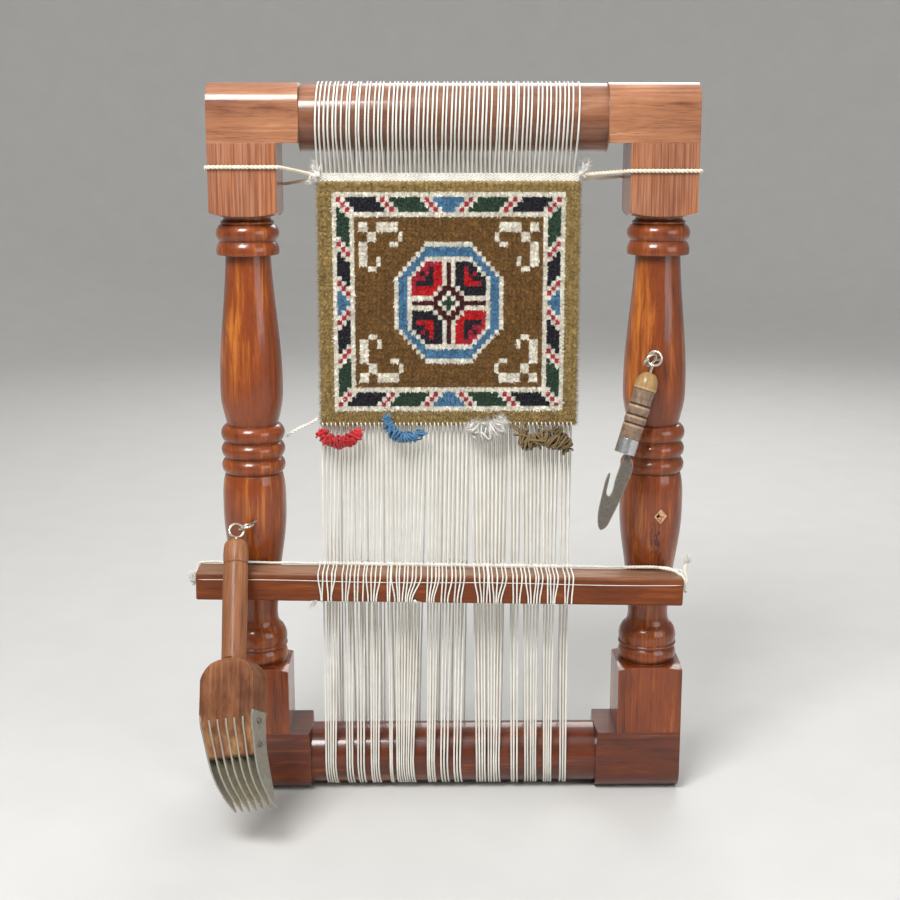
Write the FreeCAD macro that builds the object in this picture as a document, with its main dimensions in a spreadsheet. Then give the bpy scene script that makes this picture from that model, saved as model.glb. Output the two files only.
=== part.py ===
import FreeCAD, Part
import Sketcher
import math
import os

# Tapestry frame loom: a small upright carpet loom of turned stair-spindle stock.
# Frame: +Z up, the loom faces -Y, X runs along the beams. The origin is the middle of the left
# foot; the pieces are drawn about the middle of the base and moved there at the end.
# All lengths are millimetres and all angles degrees.

Vec = FreeCAD.Vector
Rot = FreeCAD.Rotation
doc = FreeCAD.newDocument("loom")

# ---------------------------------------------------------------- driving dimensions

DIMENSIONS = [
    ("frame_width", 290, "outside width over the posts"),
    ("frame_height", 445, "floor to the top of the top beam"),
    ("stock", 40.5, "square spindle stock of posts and beams"),
    ("post_top", 410, "height of the seat of the top beam"),
    ("low_round_radius", 19.3, "turned middle of the bottom beam, clear of the floor with its warp"),
    ("high_round_radius", 20.0, "turned middle of the top beam, almost flush with its square ends"),
    ("beam_round_half", 91, "half length of the turned middle"),
    ("beam_edge_radius", 14, "rounding of the beams' outer long edges"),
    ("dowel_radius", 5, "hidden dowels in the four corners"),
    ("dowel_length", 36, "half in the beam, half in the post"),
    ("dowel_play", 0.05, "radial play of a dowel"),
    ("block_low_top", 84.2, "top of the bottom square block"),
    ("block_high_bottom", 367, "bottom of the top square block"),
    ("ring_mid_radius", 19.75, "three rings at mid height"),
    ("ring_high_radius", 19.1, "rings under the top block"),
    ("ring_low_radius", 18.45, "rings over the bottom block"),
    ("warp_pitch", 2.66, "distance between threads of one set"),
    ("warp_threads", 59, "threads in one set"),
    ("warp_diameter", 0.7, "one warp thread"),
    ("warp_centre", -4.0, "middle of the warp across the frame"),
    ("carpet_width", 157, "knotted width"),
    ("carpet_bottom", 238.3, "lower edge of the carpet"),
    ("carpet_top", 387, "upper edge of the pile"),
    ("carpet_front", 6.6, "pile surface in front of the warp plane"),
    ("carpet_back", 1.2, "back of the ground weave"),
    ("header_height", 4.6, "woven band above the pile"),
    ("bar_length", 299, "heddle bar"),
    ("bar_height", 17.5, "heddle bar"),
    ("bar_depth", 20, "heddle bar"),
    ("bar_chamfer", 0.8, "worn edges of the heddle bar"),
    ("bar_front", 37.2, "front face of the bar before the frame's middle plane"),
    ("bar_level", 142, "height of the bar's centre"),
    ("bar_shift", -8.5, "sideways place of the bar's centre"),
    ("bar_tilt", 1.0, "the bar hangs lower at its right end"),
    ("eye_radius", 4.3, "mean radius of a screw eye's ring"),
    ("eye_wire_radius", 0.85, "wire of a screw eye"),
    ("eye_hole_radius", 0.87, "pilot hole for a screw eye's shank"),
    ("spare_hole_radius", 1.0, "unused pilot hole in the right post"),
    ("spare_hole_depth", 9, "unused pilot hole in the right post"),
    ("comb_lean", 33.5, "the comb leans out over the heddle bar"),
    ("comb_side", -1.7, "sideways tilt of the comb"),
    ("comb_yaw", -24.5, "turn of the comb about its own axis"),
    ("comb_handle_radius", 7.5, "straight part of the comb's handle"),
    ("comb_head_width", 36.4, "over the cheek plates"),
    ("comb_head_depth", 15.6, "front to back of the comb's head"),
    ("blade_thickness", 1.0, "comb blades and cheek plates"),
    ("rivet_radius", 1.25, "rivets through the comb"),
    ("knife_lean", 8, "the knife leans out a little"),
    ("knife_side", 17.5, "sideways tilt of the knife at rest"),
    ("knife_handle_radius", 6.9, "rim of the knife's handle"),
    ("ferrule_length", 9.5, "aluminium ferrule"),
    ("ferrule_radius", 6.4, "aluminium ferrule"),
    ("knife_blade_thickness", 1.4, "steel blade"),
]

sheet = doc.addObject("Spreadsheet::Sheet", "Sheet")
for row, (alias, value, note) in enumerate(DIMENSIONS, start=1):
    sheet.set("A%d" % row, alias)
    sheet.set("B%d" % row, str(value))
    sheet.set("C%d" % row, note)
    sheet.setAlias("B%d" % row, alias)
doc.recompute()


def size(alias):
    """A driving dimension read back from the sheet."""
    return float(sheet.get(alias))


# ---------------------------------------------------------------- derived places

HALF_STOCK = size("stock") / 2
POST_X = size("frame_width") / 2 - HALF_STOCK
LOW_AXIS_Z = HALF_STOCK
HIGH_AXIS_Z = size("frame_height") - HALF_STOCK
OUTSIDE = 30.0      # radius beyond the corners of the stock
GAP = 0.05          # air left between a soft part and what it lies on
NODES = []


# ---------------------------------------------------------------- helpers

def origin_plane(body, role):
    """The body's own origin plane, found by its role."""
    for item in body.Origin.OriginFeatures:
        if item.Role == role:
            return item
    raise ValueError(role)


def new_body(name, placement=None):
    body = doc.addObject("PartDesign::Body", name)
    body.Label = name
    if placement is not None:
        body.Placement = placement
    NODES.append(body)
    return body


def new_sketch(body, name, role):
    sketch = body.newObject("Sketcher::SketchObject", name)
    sketch.AttachmentSupport = [(origin_plane(body, role), "")]
    sketch.MapMode = "FlatFace"
    return sketch


def add_rectangle(sketch, half_x, half_y, x_expression, y_expression):
    """A rectangle centred on the sketch origin, its two sizes bound to the sheet."""
    corners = [(-half_x, -half_y), (half_x, -half_y), (half_x, half_y), (-half_x, half_y)]
    first = add_polygon(sketch, corners)
    constraint = Sketcher.Constraint
    for index in (0, 2):
        sketch.addConstraint(constraint("Horizontal", first + index))
    for index in (1, 3):
        sketch.addConstraint(constraint("Vertical", first + index))
    sketch.addConstraint(constraint("Symmetric", first, 1, first + 2, 1, -1, 1))
    wide = sketch.addConstraint(constraint("DistanceX", first, 1, first, 2, 2 * half_x))
    high = sketch.addConstraint(constraint("DistanceY", first + 1, 1, first + 1, 2, 2 * half_y))
    sketch.setExpression("Constraints[%d]" % wide, x_expression)
    sketch.setExpression("Constraints[%d]" % high, y_expression)


def add_polygon(sketch, points):
    """A closed loop of straight lines; returns the number of its first line."""
    first = sketch.GeometryCount
    count = len(points)
    for index in range(count):
        start = Vec(points[index][0], points[index][1], 0)
        end = Vec(points[(index + 1) % count][0], points[(index + 1) % count][1], 0)
        sketch.addGeometry(Part.LineSegment(start, end), False)
    join_ends(sketch, first, count)
    return first


def add_path(sketch, pieces):
    """A closed loop of ("line", points), ("arc", three points) and ("curve", points)."""
    for kind, points in pieces:
        vectors = [Vec(x, y, 0) for x, y in points]
        if kind == "arc":
            sketch.addGeometry(Part.Arc(*vectors), False)
        elif kind == "curve":
            curve = Part.BSplineCurve()
            curve.interpolate(vectors)
            sketch.addGeometry(curve, False)
        else:
            for start, end in zip(vectors, vectors[1:]):
                sketch.addGeometry(Part.LineSegment(start, end), False)


def join_ends(sketch, first, count):
    constraint = Sketcher.Constraint
    for index in range(count):
        sketch.addConstraint(
            constraint("Coincident", first + index, 2, first + (index + 1) % count, 1))


def add_pad(body, name, sketch, length_expression, midplane=False):
    pad = body.newObject("PartDesign::Pad", name)
    pad.Profile = sketch
    pad.Midplane = midplane
    pad.setExpression("Length", length_expression)
    doc.recompute()
    return pad


def cut_through(body, name, sketch):
    """A pocket both ways through the whole body; it must take material away."""
    before = body.Shape.Volume
    pocket = body.newObject("PartDesign::Pocket", name)
    pocket.Profile = sketch
    pocket.Midplane = True
    pocket.Type = "ThroughAll"
    doc.recompute()
    if body.Shape.Volume >= before:
        raise ValueError(name + " removed nothing")
    return pocket


def revolve(body, name, sketch, axis, cut=False):
    kind = "PartDesign::Groove" if cut else "PartDesign::Revolution"
    turned = body.newObject(kind, name)
    turned.Profile = sketch
    turned.ReferenceAxis = (sketch, [axis])
    turned.Angle = 360
    doc.recompute()
    return turned


def drill(body, name, radius_expression, depth, place):
    """A round hole starting at place's origin and running along its +Z."""
    before = body.Shape.Volume
    hole = body.newObject("PartDesign::SubtractiveCylinder", name)
    hole.setExpression("Radius", radius_expression)
    hole.Height = depth
    hole.Placement = place
    doc.recompute()
    if body.Shape.Volume >= before:
        raise ValueError(name + " removed nothing")
    return hole


def facing(point, direction):
    """A placement at point whose +Z runs along direction."""
    return FreeCAD.Placement(point, Rot(Vec(0, 0, 1), direction))


def computed(name, shape, placement=None):
    """A node whose solid is worked out in code from the sheet's sizes."""
    node = doc.addObject("Part::Feature", name)
    node.Label = name
    node.Shape = shape
    if placement is not None:
        node.Placement = placement
    NODES.append(node)
    return node


def pipe(wire, radius):
    """A round cord swept along a smooth wire."""
    first_edge = wire.OrderedEdges[0]
    start = first_edge.valueAt(first_edge.FirstParameter)
    tangent = first_edge.tangentAt(first_edge.FirstParameter)
    circle = Part.Wire([Part.makeCircle(radius, start, tangent)])
    return wire.makePipeShell([circle], True, True)


def spline_cord(points, radius):
    curve = Part.BSplineCurve()
    curve.interpolate([Vec(*point) for point in points])
    return pipe(Part.Wire([curve.toShape()]), radius)


def beads(points, radius):
    """A cord with sharp turns: cylinders joined by balls."""
    solid = Part.makeSphere(radius, Vec(*points[0]))
    for start, end in zip(points, points[1:]):
        start_point = Vec(*start)
        run = Vec(*end) - start_point
        solid = solid.fuse(Part.makeCylinder(radius, run.Length, start_point, run))
        solid = solid.fuse(Part.makeSphere(radius, Vec(*end)))
    return solid.removeSplitter()


# ---------------------------------------------------------------- posts

def post_profile():
    """The turned outline between the two square blocks, from the bottom up."""
    low = size("block_low_top")
    high = size("block_high_bottom")
    r_low = size("ring_low_radius")
    r_mid = size("ring_mid_radius")
    r_high = size("ring_high_radius")
    pieces = [
        ("arc", [(OUTSIDE, low - 2.6), (25, low - 0.8), (HALF_STOCK + 0.1, low)]),
        ("line", [(HALF_STOCK + 0.1, low), (17.2, low), (17.2, 84.8)]),
        ("arc", [(17.2, 84.8), (r_low, 89.4), (16.9, 93.9)]),
        ("line", [(16.9, 93.9), (16.9, 94.6)]),
        ("arc", [(16.9, 94.6), (r_low, 95.7), (17.6, 96.8)]),
        ("arc", [(17.6, 96.8), (r_low - 0.2, 101.2), (14.2, 109.2)]),
        ("curve", [(14.2, 109.2), (12.9, 112.5), (12.6, 117.5), (13.6, 130), (15.7, 148),
                   (18.0, 163), (19.5, 178), (19.7, 190), (19.3, 200), (17.8, 207.8)]),
        ("line", [(17.8, 207.8), (17.4, 208.2)]),
    ]
    ring_bottom = 208.2
    for ring_top in (217.6, 227.6, 238.2):
        middle = (ring_bottom + ring_top) / 2
        pieces.append(("arc", [(17.4, ring_bottom), (r_mid, middle), (17.4, ring_top)]))
        if ring_top < 238:
            pieces.append(("line", [(17.4, ring_top), (17.4, ring_top + 0.5)]))
        ring_bottom = ring_top + 0.5
    pieces += [
        ("line", [(17.4, 238.2), (15.8, 238.9)]),
        ("curve", [(15.8, 238.9), (17.2, 244.6), (19.0, 254), (19.3, 262), (18.9, 278),
                   (16.1, 311), (14.5, 329), (13.7, 343.2)]),
        ("line", [(13.7, 343.2), (18.8, 343.6)]),
        ("arc", [(18.8, 343.6), (r_high, 346.4), (17.2, 351.3)]),
        ("line", [(17.2, 351.3), (17.2, 351.9)]),
        ("arc", [(17.2, 351.9), (r_high, 356.8), (16.6, 361.6)]),
        ("line", [(16.6, 361.6), (15.6, 361.9)]),
        ("arc", [(15.6, 361.9), (16.2, 362.9), (15.6, 363.9)]),
        ("arc", [(15.6, 363.9), (14.3, 365.6), (15.2, high)]),
        ("line", [(15.2, high), (HALF_STOCK + 0.1, high)]),
        ("arc", [(HALF_STOCK + 0.1, high), (25, high + 1.2), (OUTSIDE, high + 3.8)]),
        ("line", [(OUTSIDE, high + 3.8), (OUTSIDE, low - 2.6)]),
    ]
    return pieces


def make_post(name, x_place):
    place = FreeCAD.Placement(Vec(x_place, 0, 0), Rot())
    body = new_body(name, place)
    square = new_sketch(body, name + "_section", "XY_Plane")
    square.AttachmentOffset = FreeCAD.Placement(Vec(0, 0, size("stock")), Rot())
    square.setExpression("AttachmentOffset.Base.z", "Sheet.stock")
    add_rectangle(square, HALF_STOCK, HALF_STOCK, "Sheet.stock", "Sheet.stock")
    add_pad(body, name + "_blank", square, "Sheet.post_top - Sheet.stock")
    outline = new_sketch(body, name + "_turning", "XZ_Plane")
    add_path(outline, post_profile())
    revolve(body, name + "_turned", outline, "V_Axis", cut=True)
    depth = size("dowel_length") / 2 + 0.5
    hole_radius = "Sheet.dowel_radius + Sheet.dowel_play"
    drill(body, name + "_dowel_low", hole_radius, depth, facing(Vec(0, 0, size("stock")), Vec(0, 0, 1)))
    drill(body, name + "_dowel_high", hole_radius, depth, facing(Vec(0, 0, size("post_top")), Vec(0, 0, -1)))
    return body


# ---------------------------------------------------------------- beams

def make_beam(name, axis_z, radius, outer_side, seat_cut):
    """outer_side is +1 when the rounded long edges face up; seat_cut lowers the ends' inner face."""
    body = new_body(name, FreeCAD.Placement(Vec(0, 0, axis_z), Rot()))
    section = new_sketch(body, name + "_section", "YZ_Plane")
    add_rectangle(section, HALF_STOCK, HALF_STOCK, "Sheet.stock", "Sheet.stock")
    blank = add_pad(body, name + "_blank", section, "Sheet.frame_width", midplane=True)
    long_edges = []
    for number, edge in enumerate(blank.Shape.Edges, start=1):
        middle = edge.valueAt((edge.FirstParameter + edge.LastParameter) / 2)
        if abs(middle.x) < 1 and middle.z * outer_side > HALF_STOCK - 1:
            long_edges.append("Edge%d" % number)
    rounding = body.newObject("PartDesign::Fillet", name + "_rounding")
    rounding.Base = (blank, long_edges)
    rounding.setExpression("Radius", "Sheet.beam_edge_radius")
    doc.recompute()
    turning = new_sketch(body, name + "_turning", "XZ_Plane")
    half = size("beam_round_half")
    add_polygon(turning, [(-half, radius), (half, radius), (half + 1.5, OUTSIDE), (-half - 1.5, OUTSIDE)])
    revolve(body, name + "_turned", turning, "H_Axis", cut=True)
    if seat_cut > 0:
        seats = new_sketch(body, name + "_seats", "XZ_Plane")
        outer_x = size("frame_width") / 2 + 5
        for side in (-1, 1):
            add_polygon(seats, [(side * half, -HALF_STOCK - 5), (side * outer_x, -HALF_STOCK - 5),
                                (side * outer_x, -HALF_STOCK + seat_cut),
                                (side * (half + 0.4), -HALF_STOCK + seat_cut)])
        cut_through(body, name + "_seat_cut", seats)
    inner_face = -HALF_STOCK + seat_cut if outer_side > 0 else HALF_STOCK
    depth = size("dowel_length") / 2 + 0.5
    for label, side in (("left", -1), ("right", 1)):
        start = Vec(side * POST_X, 0, inner_face)
        drill(body, name + "_dowel_" + label, "Sheet.dowel_radius + Sheet.dowel_play", depth,
              facing(start, Vec(0, 0, outer_side)))


# ---------------------------------------------------------------- screw eyes

def eye_frame(direction, roll):
    """Unit vectors of a ring's plane: along the shank, across it, and the ring's normal."""
    along = Vec(direction)
    along.normalize()
    level = along.cross(Vec(0, 0, 1))
    level.normalize()
    upright = level.cross(along)
    turn = math.radians(roll)
    across = level * math.cos(turn) + upright * math.sin(turn)
    return along, across, along.cross(across)


def primitive(kind, name, place, **expressions):
    """A Part primitive whose sizes are bound to the sheet."""
    solid = doc.addObject(kind, name)
    for key, expression in expressions.items():
        solid.setExpression(key, expression)
    solid.Placement = place
    return solid


def fused(name, solids):
    """One node out of several primitives; primitives that don't touch stay separate solids."""
    node = doc.addObject("Part::MultiFuse", name)
    node.Label = name
    node.Shapes = solids
    NODES.append(node)
    return node


def make_eye(name, centre, along, normal, shank_length):
    """A ring round centre with a shank that leaves it against the direction along."""
    ring = primitive("Part::Torus", name + "_ring", facing(centre, normal),
                     Radius1="Sheet.eye_radius", Radius2="Sheet.eye_wire_radius")
    foot = centre - along * size("eye_radius")
    shank = primitive("Part::Cylinder", name + "_shank", facing(foot, along * -1),
                      Radius="Sheet.eye_wire_radius - 0.03")
    shank.Height = shank_length
    return fused(name, [ring, shank])


def make_hanger(name, entry, direction, roll, stand_off):
    """A screw eye in a post; returns its ring's centre and plane."""
    along, across, normal = eye_frame(direction, roll)
    centre = entry + along * (stand_off + size("eye_radius"))
    make_eye(name, centre, along, normal, stand_off + EYE_BITE)
    return centre, along, across


EYE_BITE = 9.0          # length of a shank inside the wood
COMB_ENTRY = Vec(-122.3, -19.3, 181.0)
COMB_HANGER_DIRECTION = (-0.50, -0.85, -0.12)
COMB_HANGER_ROLL = -15
COMB_HANGER_STAND_OFF = 5.5
KNIFE_ENTRY = Vec(124.0, -19.2, 281.2)
KNIFE_HANGER_DIRECTION = (-0.72, -0.68, 0.08)
KNIFE_HANGER_ROLL = -60
KNIFE_HANGER_STAND_OFF = 3.5


def point_on_ring(centre, along, across, angle):
    turn = math.radians(angle)
    return centre + (along * math.cos(turn) + across * math.sin(turn)) * size("eye_radius")


def hung_ring_centre(hang_point, axis, front, turn_about_axis, angle):
    """Centre and normal of a ring that hangs on hang_point.

    axis runs down the tool, front is square to it; the ring's plane holds the axis."""
    side = axis.cross(front)
    turn = math.radians(turn_about_axis)
    normal = front * math.cos(turn) + side * math.sin(turn)
    across = normal.cross(axis)
    away = math.radians(angle)
    reach = size("eye_radius") - 2 * size("eye_wire_radius") - 0.12
    centre = hang_point + (axis * math.cos(away) + across * math.sin(away)) * reach
    return centre, normal


def tool_rotation(side, lean, yaw):
    """The tool's own frame: its axis runs down its -Z and its front is its -Y."""
    return (Rot(Vec(0, 1, 0), side)
            .multiply(Rot(Vec(1, 0, 0), -lean))
            .multiply(Rot(Vec(0, 0, 1), yaw)))


def drill_for_hanger(body, name, entry, direction):
    """Pilot hole for a hanger, drilled in the post's own frame from just outside the wood."""
    along = Vec(*direction)
    along.normalize()
    local = entry - body.Placement.Base + along * 3
    drill(body, name, "Sheet.eye_hole_radius", EYE_BITE + 3.5, facing(local, along * -1))


# ---------------------------------------------------------------- frame

left_post = make_post("left_post", -POST_X)
right_post = make_post("right_post", POST_X)
drill_for_hanger(left_post, "comb_pilot", COMB_ENTRY, COMB_HANGER_DIRECTION)
drill_for_hanger(right_post, "knife_pilot", KNIFE_ENTRY, KNIFE_HANGER_DIRECTION)
SPARE_HOLE = Vec(2.2, -21, 183)
drill(right_post, "spare_pilot", "Sheet.spare_hole_radius",
      size("spare_hole_depth") + 21 - 19.5, facing(SPARE_HOLE, Vec(0, 1, 0)))
make_beam("top_beam", HIGH_AXIS_Z, size("high_round_radius"), 1,
          size("post_top") - (HIGH_AXIS_Z - HALF_STOCK))
make_beam("bottom_beam", LOW_AXIS_Z, size("low_round_radius"), -1, 0)

dowels = []
for side in (-1, 1):
    for joint_z in (size("stock"), size("post_top")):
        foot = Vec(side * POST_X, 0, joint_z - size("dowel_length") / 2)
        dowels.append(primitive("Part::Cylinder", "dowel", facing(foot, Vec(0, 0, 1)),
                                Radius="Sheet.dowel_radius", Height="Sheet.dowel_length"))
fused("corner_dowels", dowels)

comb_ring = make_hanger("comb_hanger_eye", COMB_ENTRY, COMB_HANGER_DIRECTION,
                        COMB_HANGER_ROLL, COMB_HANGER_STAND_OFF)
knife_ring = make_hanger("knife_hanger_eye", KNIFE_ENTRY, KNIFE_HANGER_DIRECTION,
                         KNIFE_HANGER_ROLL, KNIFE_HANGER_STAND_OFF)

# ---------------------------------------------------------------- warp

THREAD_R = size("warp_diameter") / 2
WARP_DEPTH = 0.7        # a set's distance from the warp plane where it enters the weave
END_ANGLE = 2.0         # degrees left open between the two sets at a beam's outer line


def warp_leg(side, axis_z, round_radius, weave_z):
    """One thread from the weave to a beam and round it; side is -1 for the front set.

    Angles are counted round the beam from its line nearest the weave."""
    wrap_r = round_radius + GAP + THREAD_R
    towards_weave = math.copysign(1, weave_z - axis_z)
    start_y = side * WARP_DEPTH
    rise = abs(weave_z - axis_z)
    opening = math.acos(wrap_r / math.hypot(start_y, rise))
    touch = math.atan2(start_y, rise) + side * opening
    last = side * (math.pi - math.radians(END_ANGLE))

    def rim(angle):
        return Vec(0, wrap_r * math.sin(angle), axis_z + towards_weave * wrap_r * math.cos(angle))

    leg = Part.LineSegment(Vec(0, start_y, weave_z), rim(touch)).toShape()
    wrap = Part.Arc(rim(touch), rim((touch + last) / 2), rim(last)).toShape()
    return pipe(Part.Wire([leg, wrap]), THREAD_R)


def warp_set(side, shift):
    low_weave = size("carpet_bottom") - 0.3
    high_weave = size("carpet_top") + size("header_height") + 0.8
    low_leg = warp_leg(side, LOW_AXIS_Z, size("low_round_radius"), low_weave)
    high_leg = warp_leg(side, HIGH_AXIS_Z, size("high_round_radius"), high_weave)
    threads = []
    count = int(size("warp_threads"))
    for number in range(count):
        place = size("warp_centre") + (number - (count - 1) / 2) * size("warp_pitch") + shift
        for leg in (low_leg, high_leg):
            thread = leg.copy()
            thread.translate(Vec(place, 0, 0))
            threads.append(thread)
    return Part.makeCompound(threads)


QUARTER_PITCH = size("warp_pitch") / 4
computed("warp_front_threads", warp_set(-1, -QUARTER_PITCH))
computed("warp_back_threads", warp_set(1, QUARTER_PITCH))

# ---------------------------------------------------------------- carpet and its cords


def slab(name, low_z_expression, height_expression, front_expression, depth_expression):
    box = doc.addObject("Part::Box", name)
    box.Label = name
    box.setExpression("Length", "Sheet.carpet_width")
    box.setExpression("Width", depth_expression)
    box.setExpression("Height", height_expression)
    box.setExpression("Placement.Base.x", "Sheet.warp_centre + 1.2 - Sheet.carpet_width / 2"
                      " + (Sheet.frame_width - Sheet.stock) / 2")    # from the left foot's middle
    box.setExpression("Placement.Base.y", front_expression)
    box.setExpression("Placement.Base.z", low_z_expression)
    NODES.append(box)
    return box


slab("carpet", "Sheet.carpet_bottom", "Sheet.carpet_top - Sheet.carpet_bottom",
     "-Sheet.carpet_front", "Sheet.carpet_front + Sheet.carpet_back")
slab("header_band", "Sheet.carpet_top + 0.2", "Sheet.header_height",
     "-1.6", "1.6 + Sheet.carpet_back")

CORD_R = 0.9
WRAP_OUT = HALF_STOCK + GAP + CORD_R


def lacing(name, side, front_z, back_z, corner_z, corner_x):
    """A weft end taken round a post's top block and back to the carpet's corner."""
    inner = side * (POST_X - WRAP_OUT)
    outer = side * (POST_X + WRAP_OUT)
    points = [(corner_x, -1.0, corner_z), (inner, -WRAP_OUT, front_z), (outer, -WRAP_OUT, front_z),
              (outer, WRAP_OUT, back_z), (inner, WRAP_OUT, back_z), (corner_x, 1.4, corner_z - 3.2)]
    computed(name, beads(points, CORD_R))


lacing("left_lacing_cord", -1, 396.2, 386.5, 391.2, -84.2)
lacing("right_lacing_cord", 1, 393.9, 389.0, 391.2, 78.6)
computed("selvedge_cord_tail", spline_cord(
    [(-83.6, -4.5, 242.5), (-89, -5.2, 239.4), (-95, -5.6, 237), (-101, -5.4, 233.4)], CORD_R))

YARN_R = 1.9
YARNS = {
    "yarn_red": [(-80, -9.5, 235), (-76, -10, 229.5), (-69, -10, 227.2), (-62, -10, 230), (-60, -9.5, 235.5)],
    "yarn_blue": [(-41, -9.5, 245), (-38, -10, 238), (-30, -10.5, 231.5), (-22, -10, 232), (-14, -9.5, 236)],
    "yarn_white": [(12, -9.5, 243), (14, -10, 235), (20, -10, 230), (26, -10, 232), (29, -9.5, 240)],
    "yarn_brown": [(41, -9.5, 235), (46, -10, 227), (55, -10, 222), (64, -10, 225), (70, -9.5, 234)],
}
for yarn_name, yarn_points in YARNS.items():
    computed(yarn_name, spline_cord(yarn_points, YARN_R))

# ---------------------------------------------------------------- heddle

BAR_Y = -size("bar_front") + size("bar_depth") / 2
BAR_PLACE = FreeCAD.Placement(Vec(size("bar_shift"), BAR_Y, size("bar_level")),
                              Rot(Vec(0, 1, 0), size("bar_tilt")))
bar = new_body("heddle_bar", BAR_PLACE)
bar_section = new_sketch(bar, "bar_section", "YZ_Plane")
add_rectangle(bar_section, size("bar_depth") / 2, size("bar_height") / 2,
              "Sheet.bar_depth", "Sheet.bar_height")
bar_blank = add_pad(bar, "bar_blank", bar_section, "Sheet.bar_length", midplane=True)
bar_edges = bar.newObject("PartDesign::Chamfer", "bar_edges")
bar_edges.Base = (bar_blank, ["Edge%d" % number for number in range(1, 13)])
bar_edges.setExpression("Size", "Sheet.bar_chamfer")
doc.recompute()

LEASH = 0.35            # thickness of the string
LEASH_HALF = 0.85       # half width of one leash round its thread
LEASH_REACH = 12.4      # how far behind the frame's middle plane a leash holds its thread


def leash_shape():
    """A ring round the bar with a long eye that reaches back round one warp thread."""
    half_depth = size("bar_depth") / 2 + 0.15
    half_height = size("bar_height") / 2 + 0.15
    outer = Part.makeBox(2 * LEASH_HALF, 2 * (half_depth + LEASH), 2 * (half_height + LEASH),
                         Vec(-LEASH_HALF, -half_depth - LEASH, -half_height - LEASH))
    inner = Part.makeBox(4 * LEASH_HALF, 2 * half_depth, 2 * half_height,
                         Vec(-2 * LEASH_HALF, -half_depth, -half_height))
    back = LEASH_REACH - BAR_Y
    eye = Part.makeBox(2 * LEASH_HALF, back - half_depth, LEASH,
                       Vec(-LEASH_HALF, half_depth, -half_height - LEASH))
    opening = Part.makeBox(2 * (LEASH_HALF - LEASH), back - half_depth - 3 * LEASH, 4 * LEASH,
                           Vec(-LEASH_HALF + LEASH, half_depth + 2 * LEASH,
                               -half_height - 2 * LEASH))
    return outer.cut(inner).fuse(eye).cut(opening).removeSplitter()


leash = leash_shape()
leashes = []
bar_turn = math.radians(size("bar_tilt"))
eye_level = -size("bar_height") / 2 - 0.15 - LEASH / 2
for number in range(int(size("warp_threads"))):
    thread_x = size("warp_centre") + (number - 29) * size("warp_pitch") + QUARTER_PITCH
    along_bar = (thread_x - size("bar_shift") - eye_level * math.sin(bar_turn)) / math.cos(bar_turn)
    copy = leash.copy()
    copy.translate(Vec(along_bar, 0, 0))
    leashes.append(copy)
computed("heddle_leashes", Part.makeCompound(leashes), BAR_PLACE)

STRING_R = 0.7
TOP_LINE = size("bar_height") / 2 + 0.15 + LEASH + STRING_R + 0.1
END_X = size("bar_length") / 2
computed("heddle_cord", beads(
    [(-END_X - 1.4, 2, 1), (-END_X - 1.4, 8.5, TOP_LINE), (END_X - 8, 8.5, TOP_LINE),
     (END_X + 1.4, 2, TOP_LINE), (END_X + 1.4, 0, -1), (END_X + 3, 0, 14)], STRING_R), BAR_PLACE)

# ---------------------------------------------------------------- comb

COMB_ROTATION = tool_rotation(size("comb_side"), size("comb_lean"), size("comb_yaw"))
comb_axis = COMB_ROTATION.multVec(Vec(0, 0, -1))
comb_front = tool_rotation(size("comb_side"), size("comb_lean"), 0).multVec(Vec(0, -1, 0))
comb_hang = point_on_ring(comb_ring[0], comb_ring[1], comb_ring[2], 30)
comb_centre, comb_eye_normal = hung_ring_centre(comb_hang, comb_axis, comb_front, -15, -60)
COMB_PLACE = FreeCAD.Placement(comb_centre, COMB_ROTATION)
HANDLE_TOP = 6.1        # distances down the comb's axis from its ring's centre
HANDLE_END = 81.0
HEAD_CORNER = 92.0
PLATE_TOP = 112.7
SLOT_TOP = 116.0
WOOD_END = 138.2
FAN = 1.32              # degrees between neighbouring blades
BLADE_STEP = 5.85       # spacing of the blades at the plates' tops

comb = new_body("comb_body", COMB_PLACE)
handle_outline = new_sketch(comb, "comb_handle_outline", "XZ_Plane")
handle_r = size("comb_handle_radius")
add_path(handle_outline, [
    ("line", [(0, -HEAD_CORNER), (0, -HANDLE_TOP)]),
    ("line", [(0, -HANDLE_TOP), (3.2, -HANDLE_TOP)]),
    ("curve", [(3.2, -HANDLE_TOP), (5.6, -6.9), (6.8, -8.5)]),
    ("line", [(6.8, -8.5), (7.1, -9.1)]),
    ("curve", [(7.1, -9.1), (7.5, -12), (7.7, -15.5), (7.4, -20.9)]),
    ("line", [(7.4, -20.9), (6.9, -21.3), (6.9, -21.8), (7.4, -22.3)]),
    ("curve", [(7.4, -22.3), (handle_r + 0.1, -40), (handle_r, -60), (handle_r - 0.1, -HANDLE_END)]),
    ("line", [(handle_r - 0.1, -HANDLE_END), (handle_r - 0.1, -HEAD_CORNER), (0, -HEAD_CORNER)]),
])
revolve(comb, "comb_handle_turned", handle_outline, "V_Axis")

head_outline = new_sketch(comb, "comb_head_outline", "XZ_Plane")
half_head = size("comb_head_width") / 2
recess = size("blade_thickness") + 0.05
half_low = half_head - recess
half_bottom = half_low - (WOOD_END - PLATE_TOP) * math.tan(math.radians(3 * FAN))
head_left = [(-half_bottom, -WOOD_END), (-half_low, -PLATE_TOP), (-half_head, -PLATE_TOP),
             (-half_head, -HEAD_CORNER)]
head_right = [(-x, z) for x, z in reversed(head_left)]
shoulder_left = [(-half_head, -HEAD_CORNER), (-14.4, -HEAD_CORNER + 6.4), (-6.0, -HANDLE_END)]
shoulder_right = [(-x, z) for x, z in reversed(shoulder_left)]
add_path(head_outline, [("line", head_left), ("arc", shoulder_left),
                        ("line", [shoulder_left[-1], shoulder_right[0]]),
                        ("arc", shoulder_right), ("line", head_right),
                        ("line", [head_right[-1], head_left[0]])])
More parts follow.
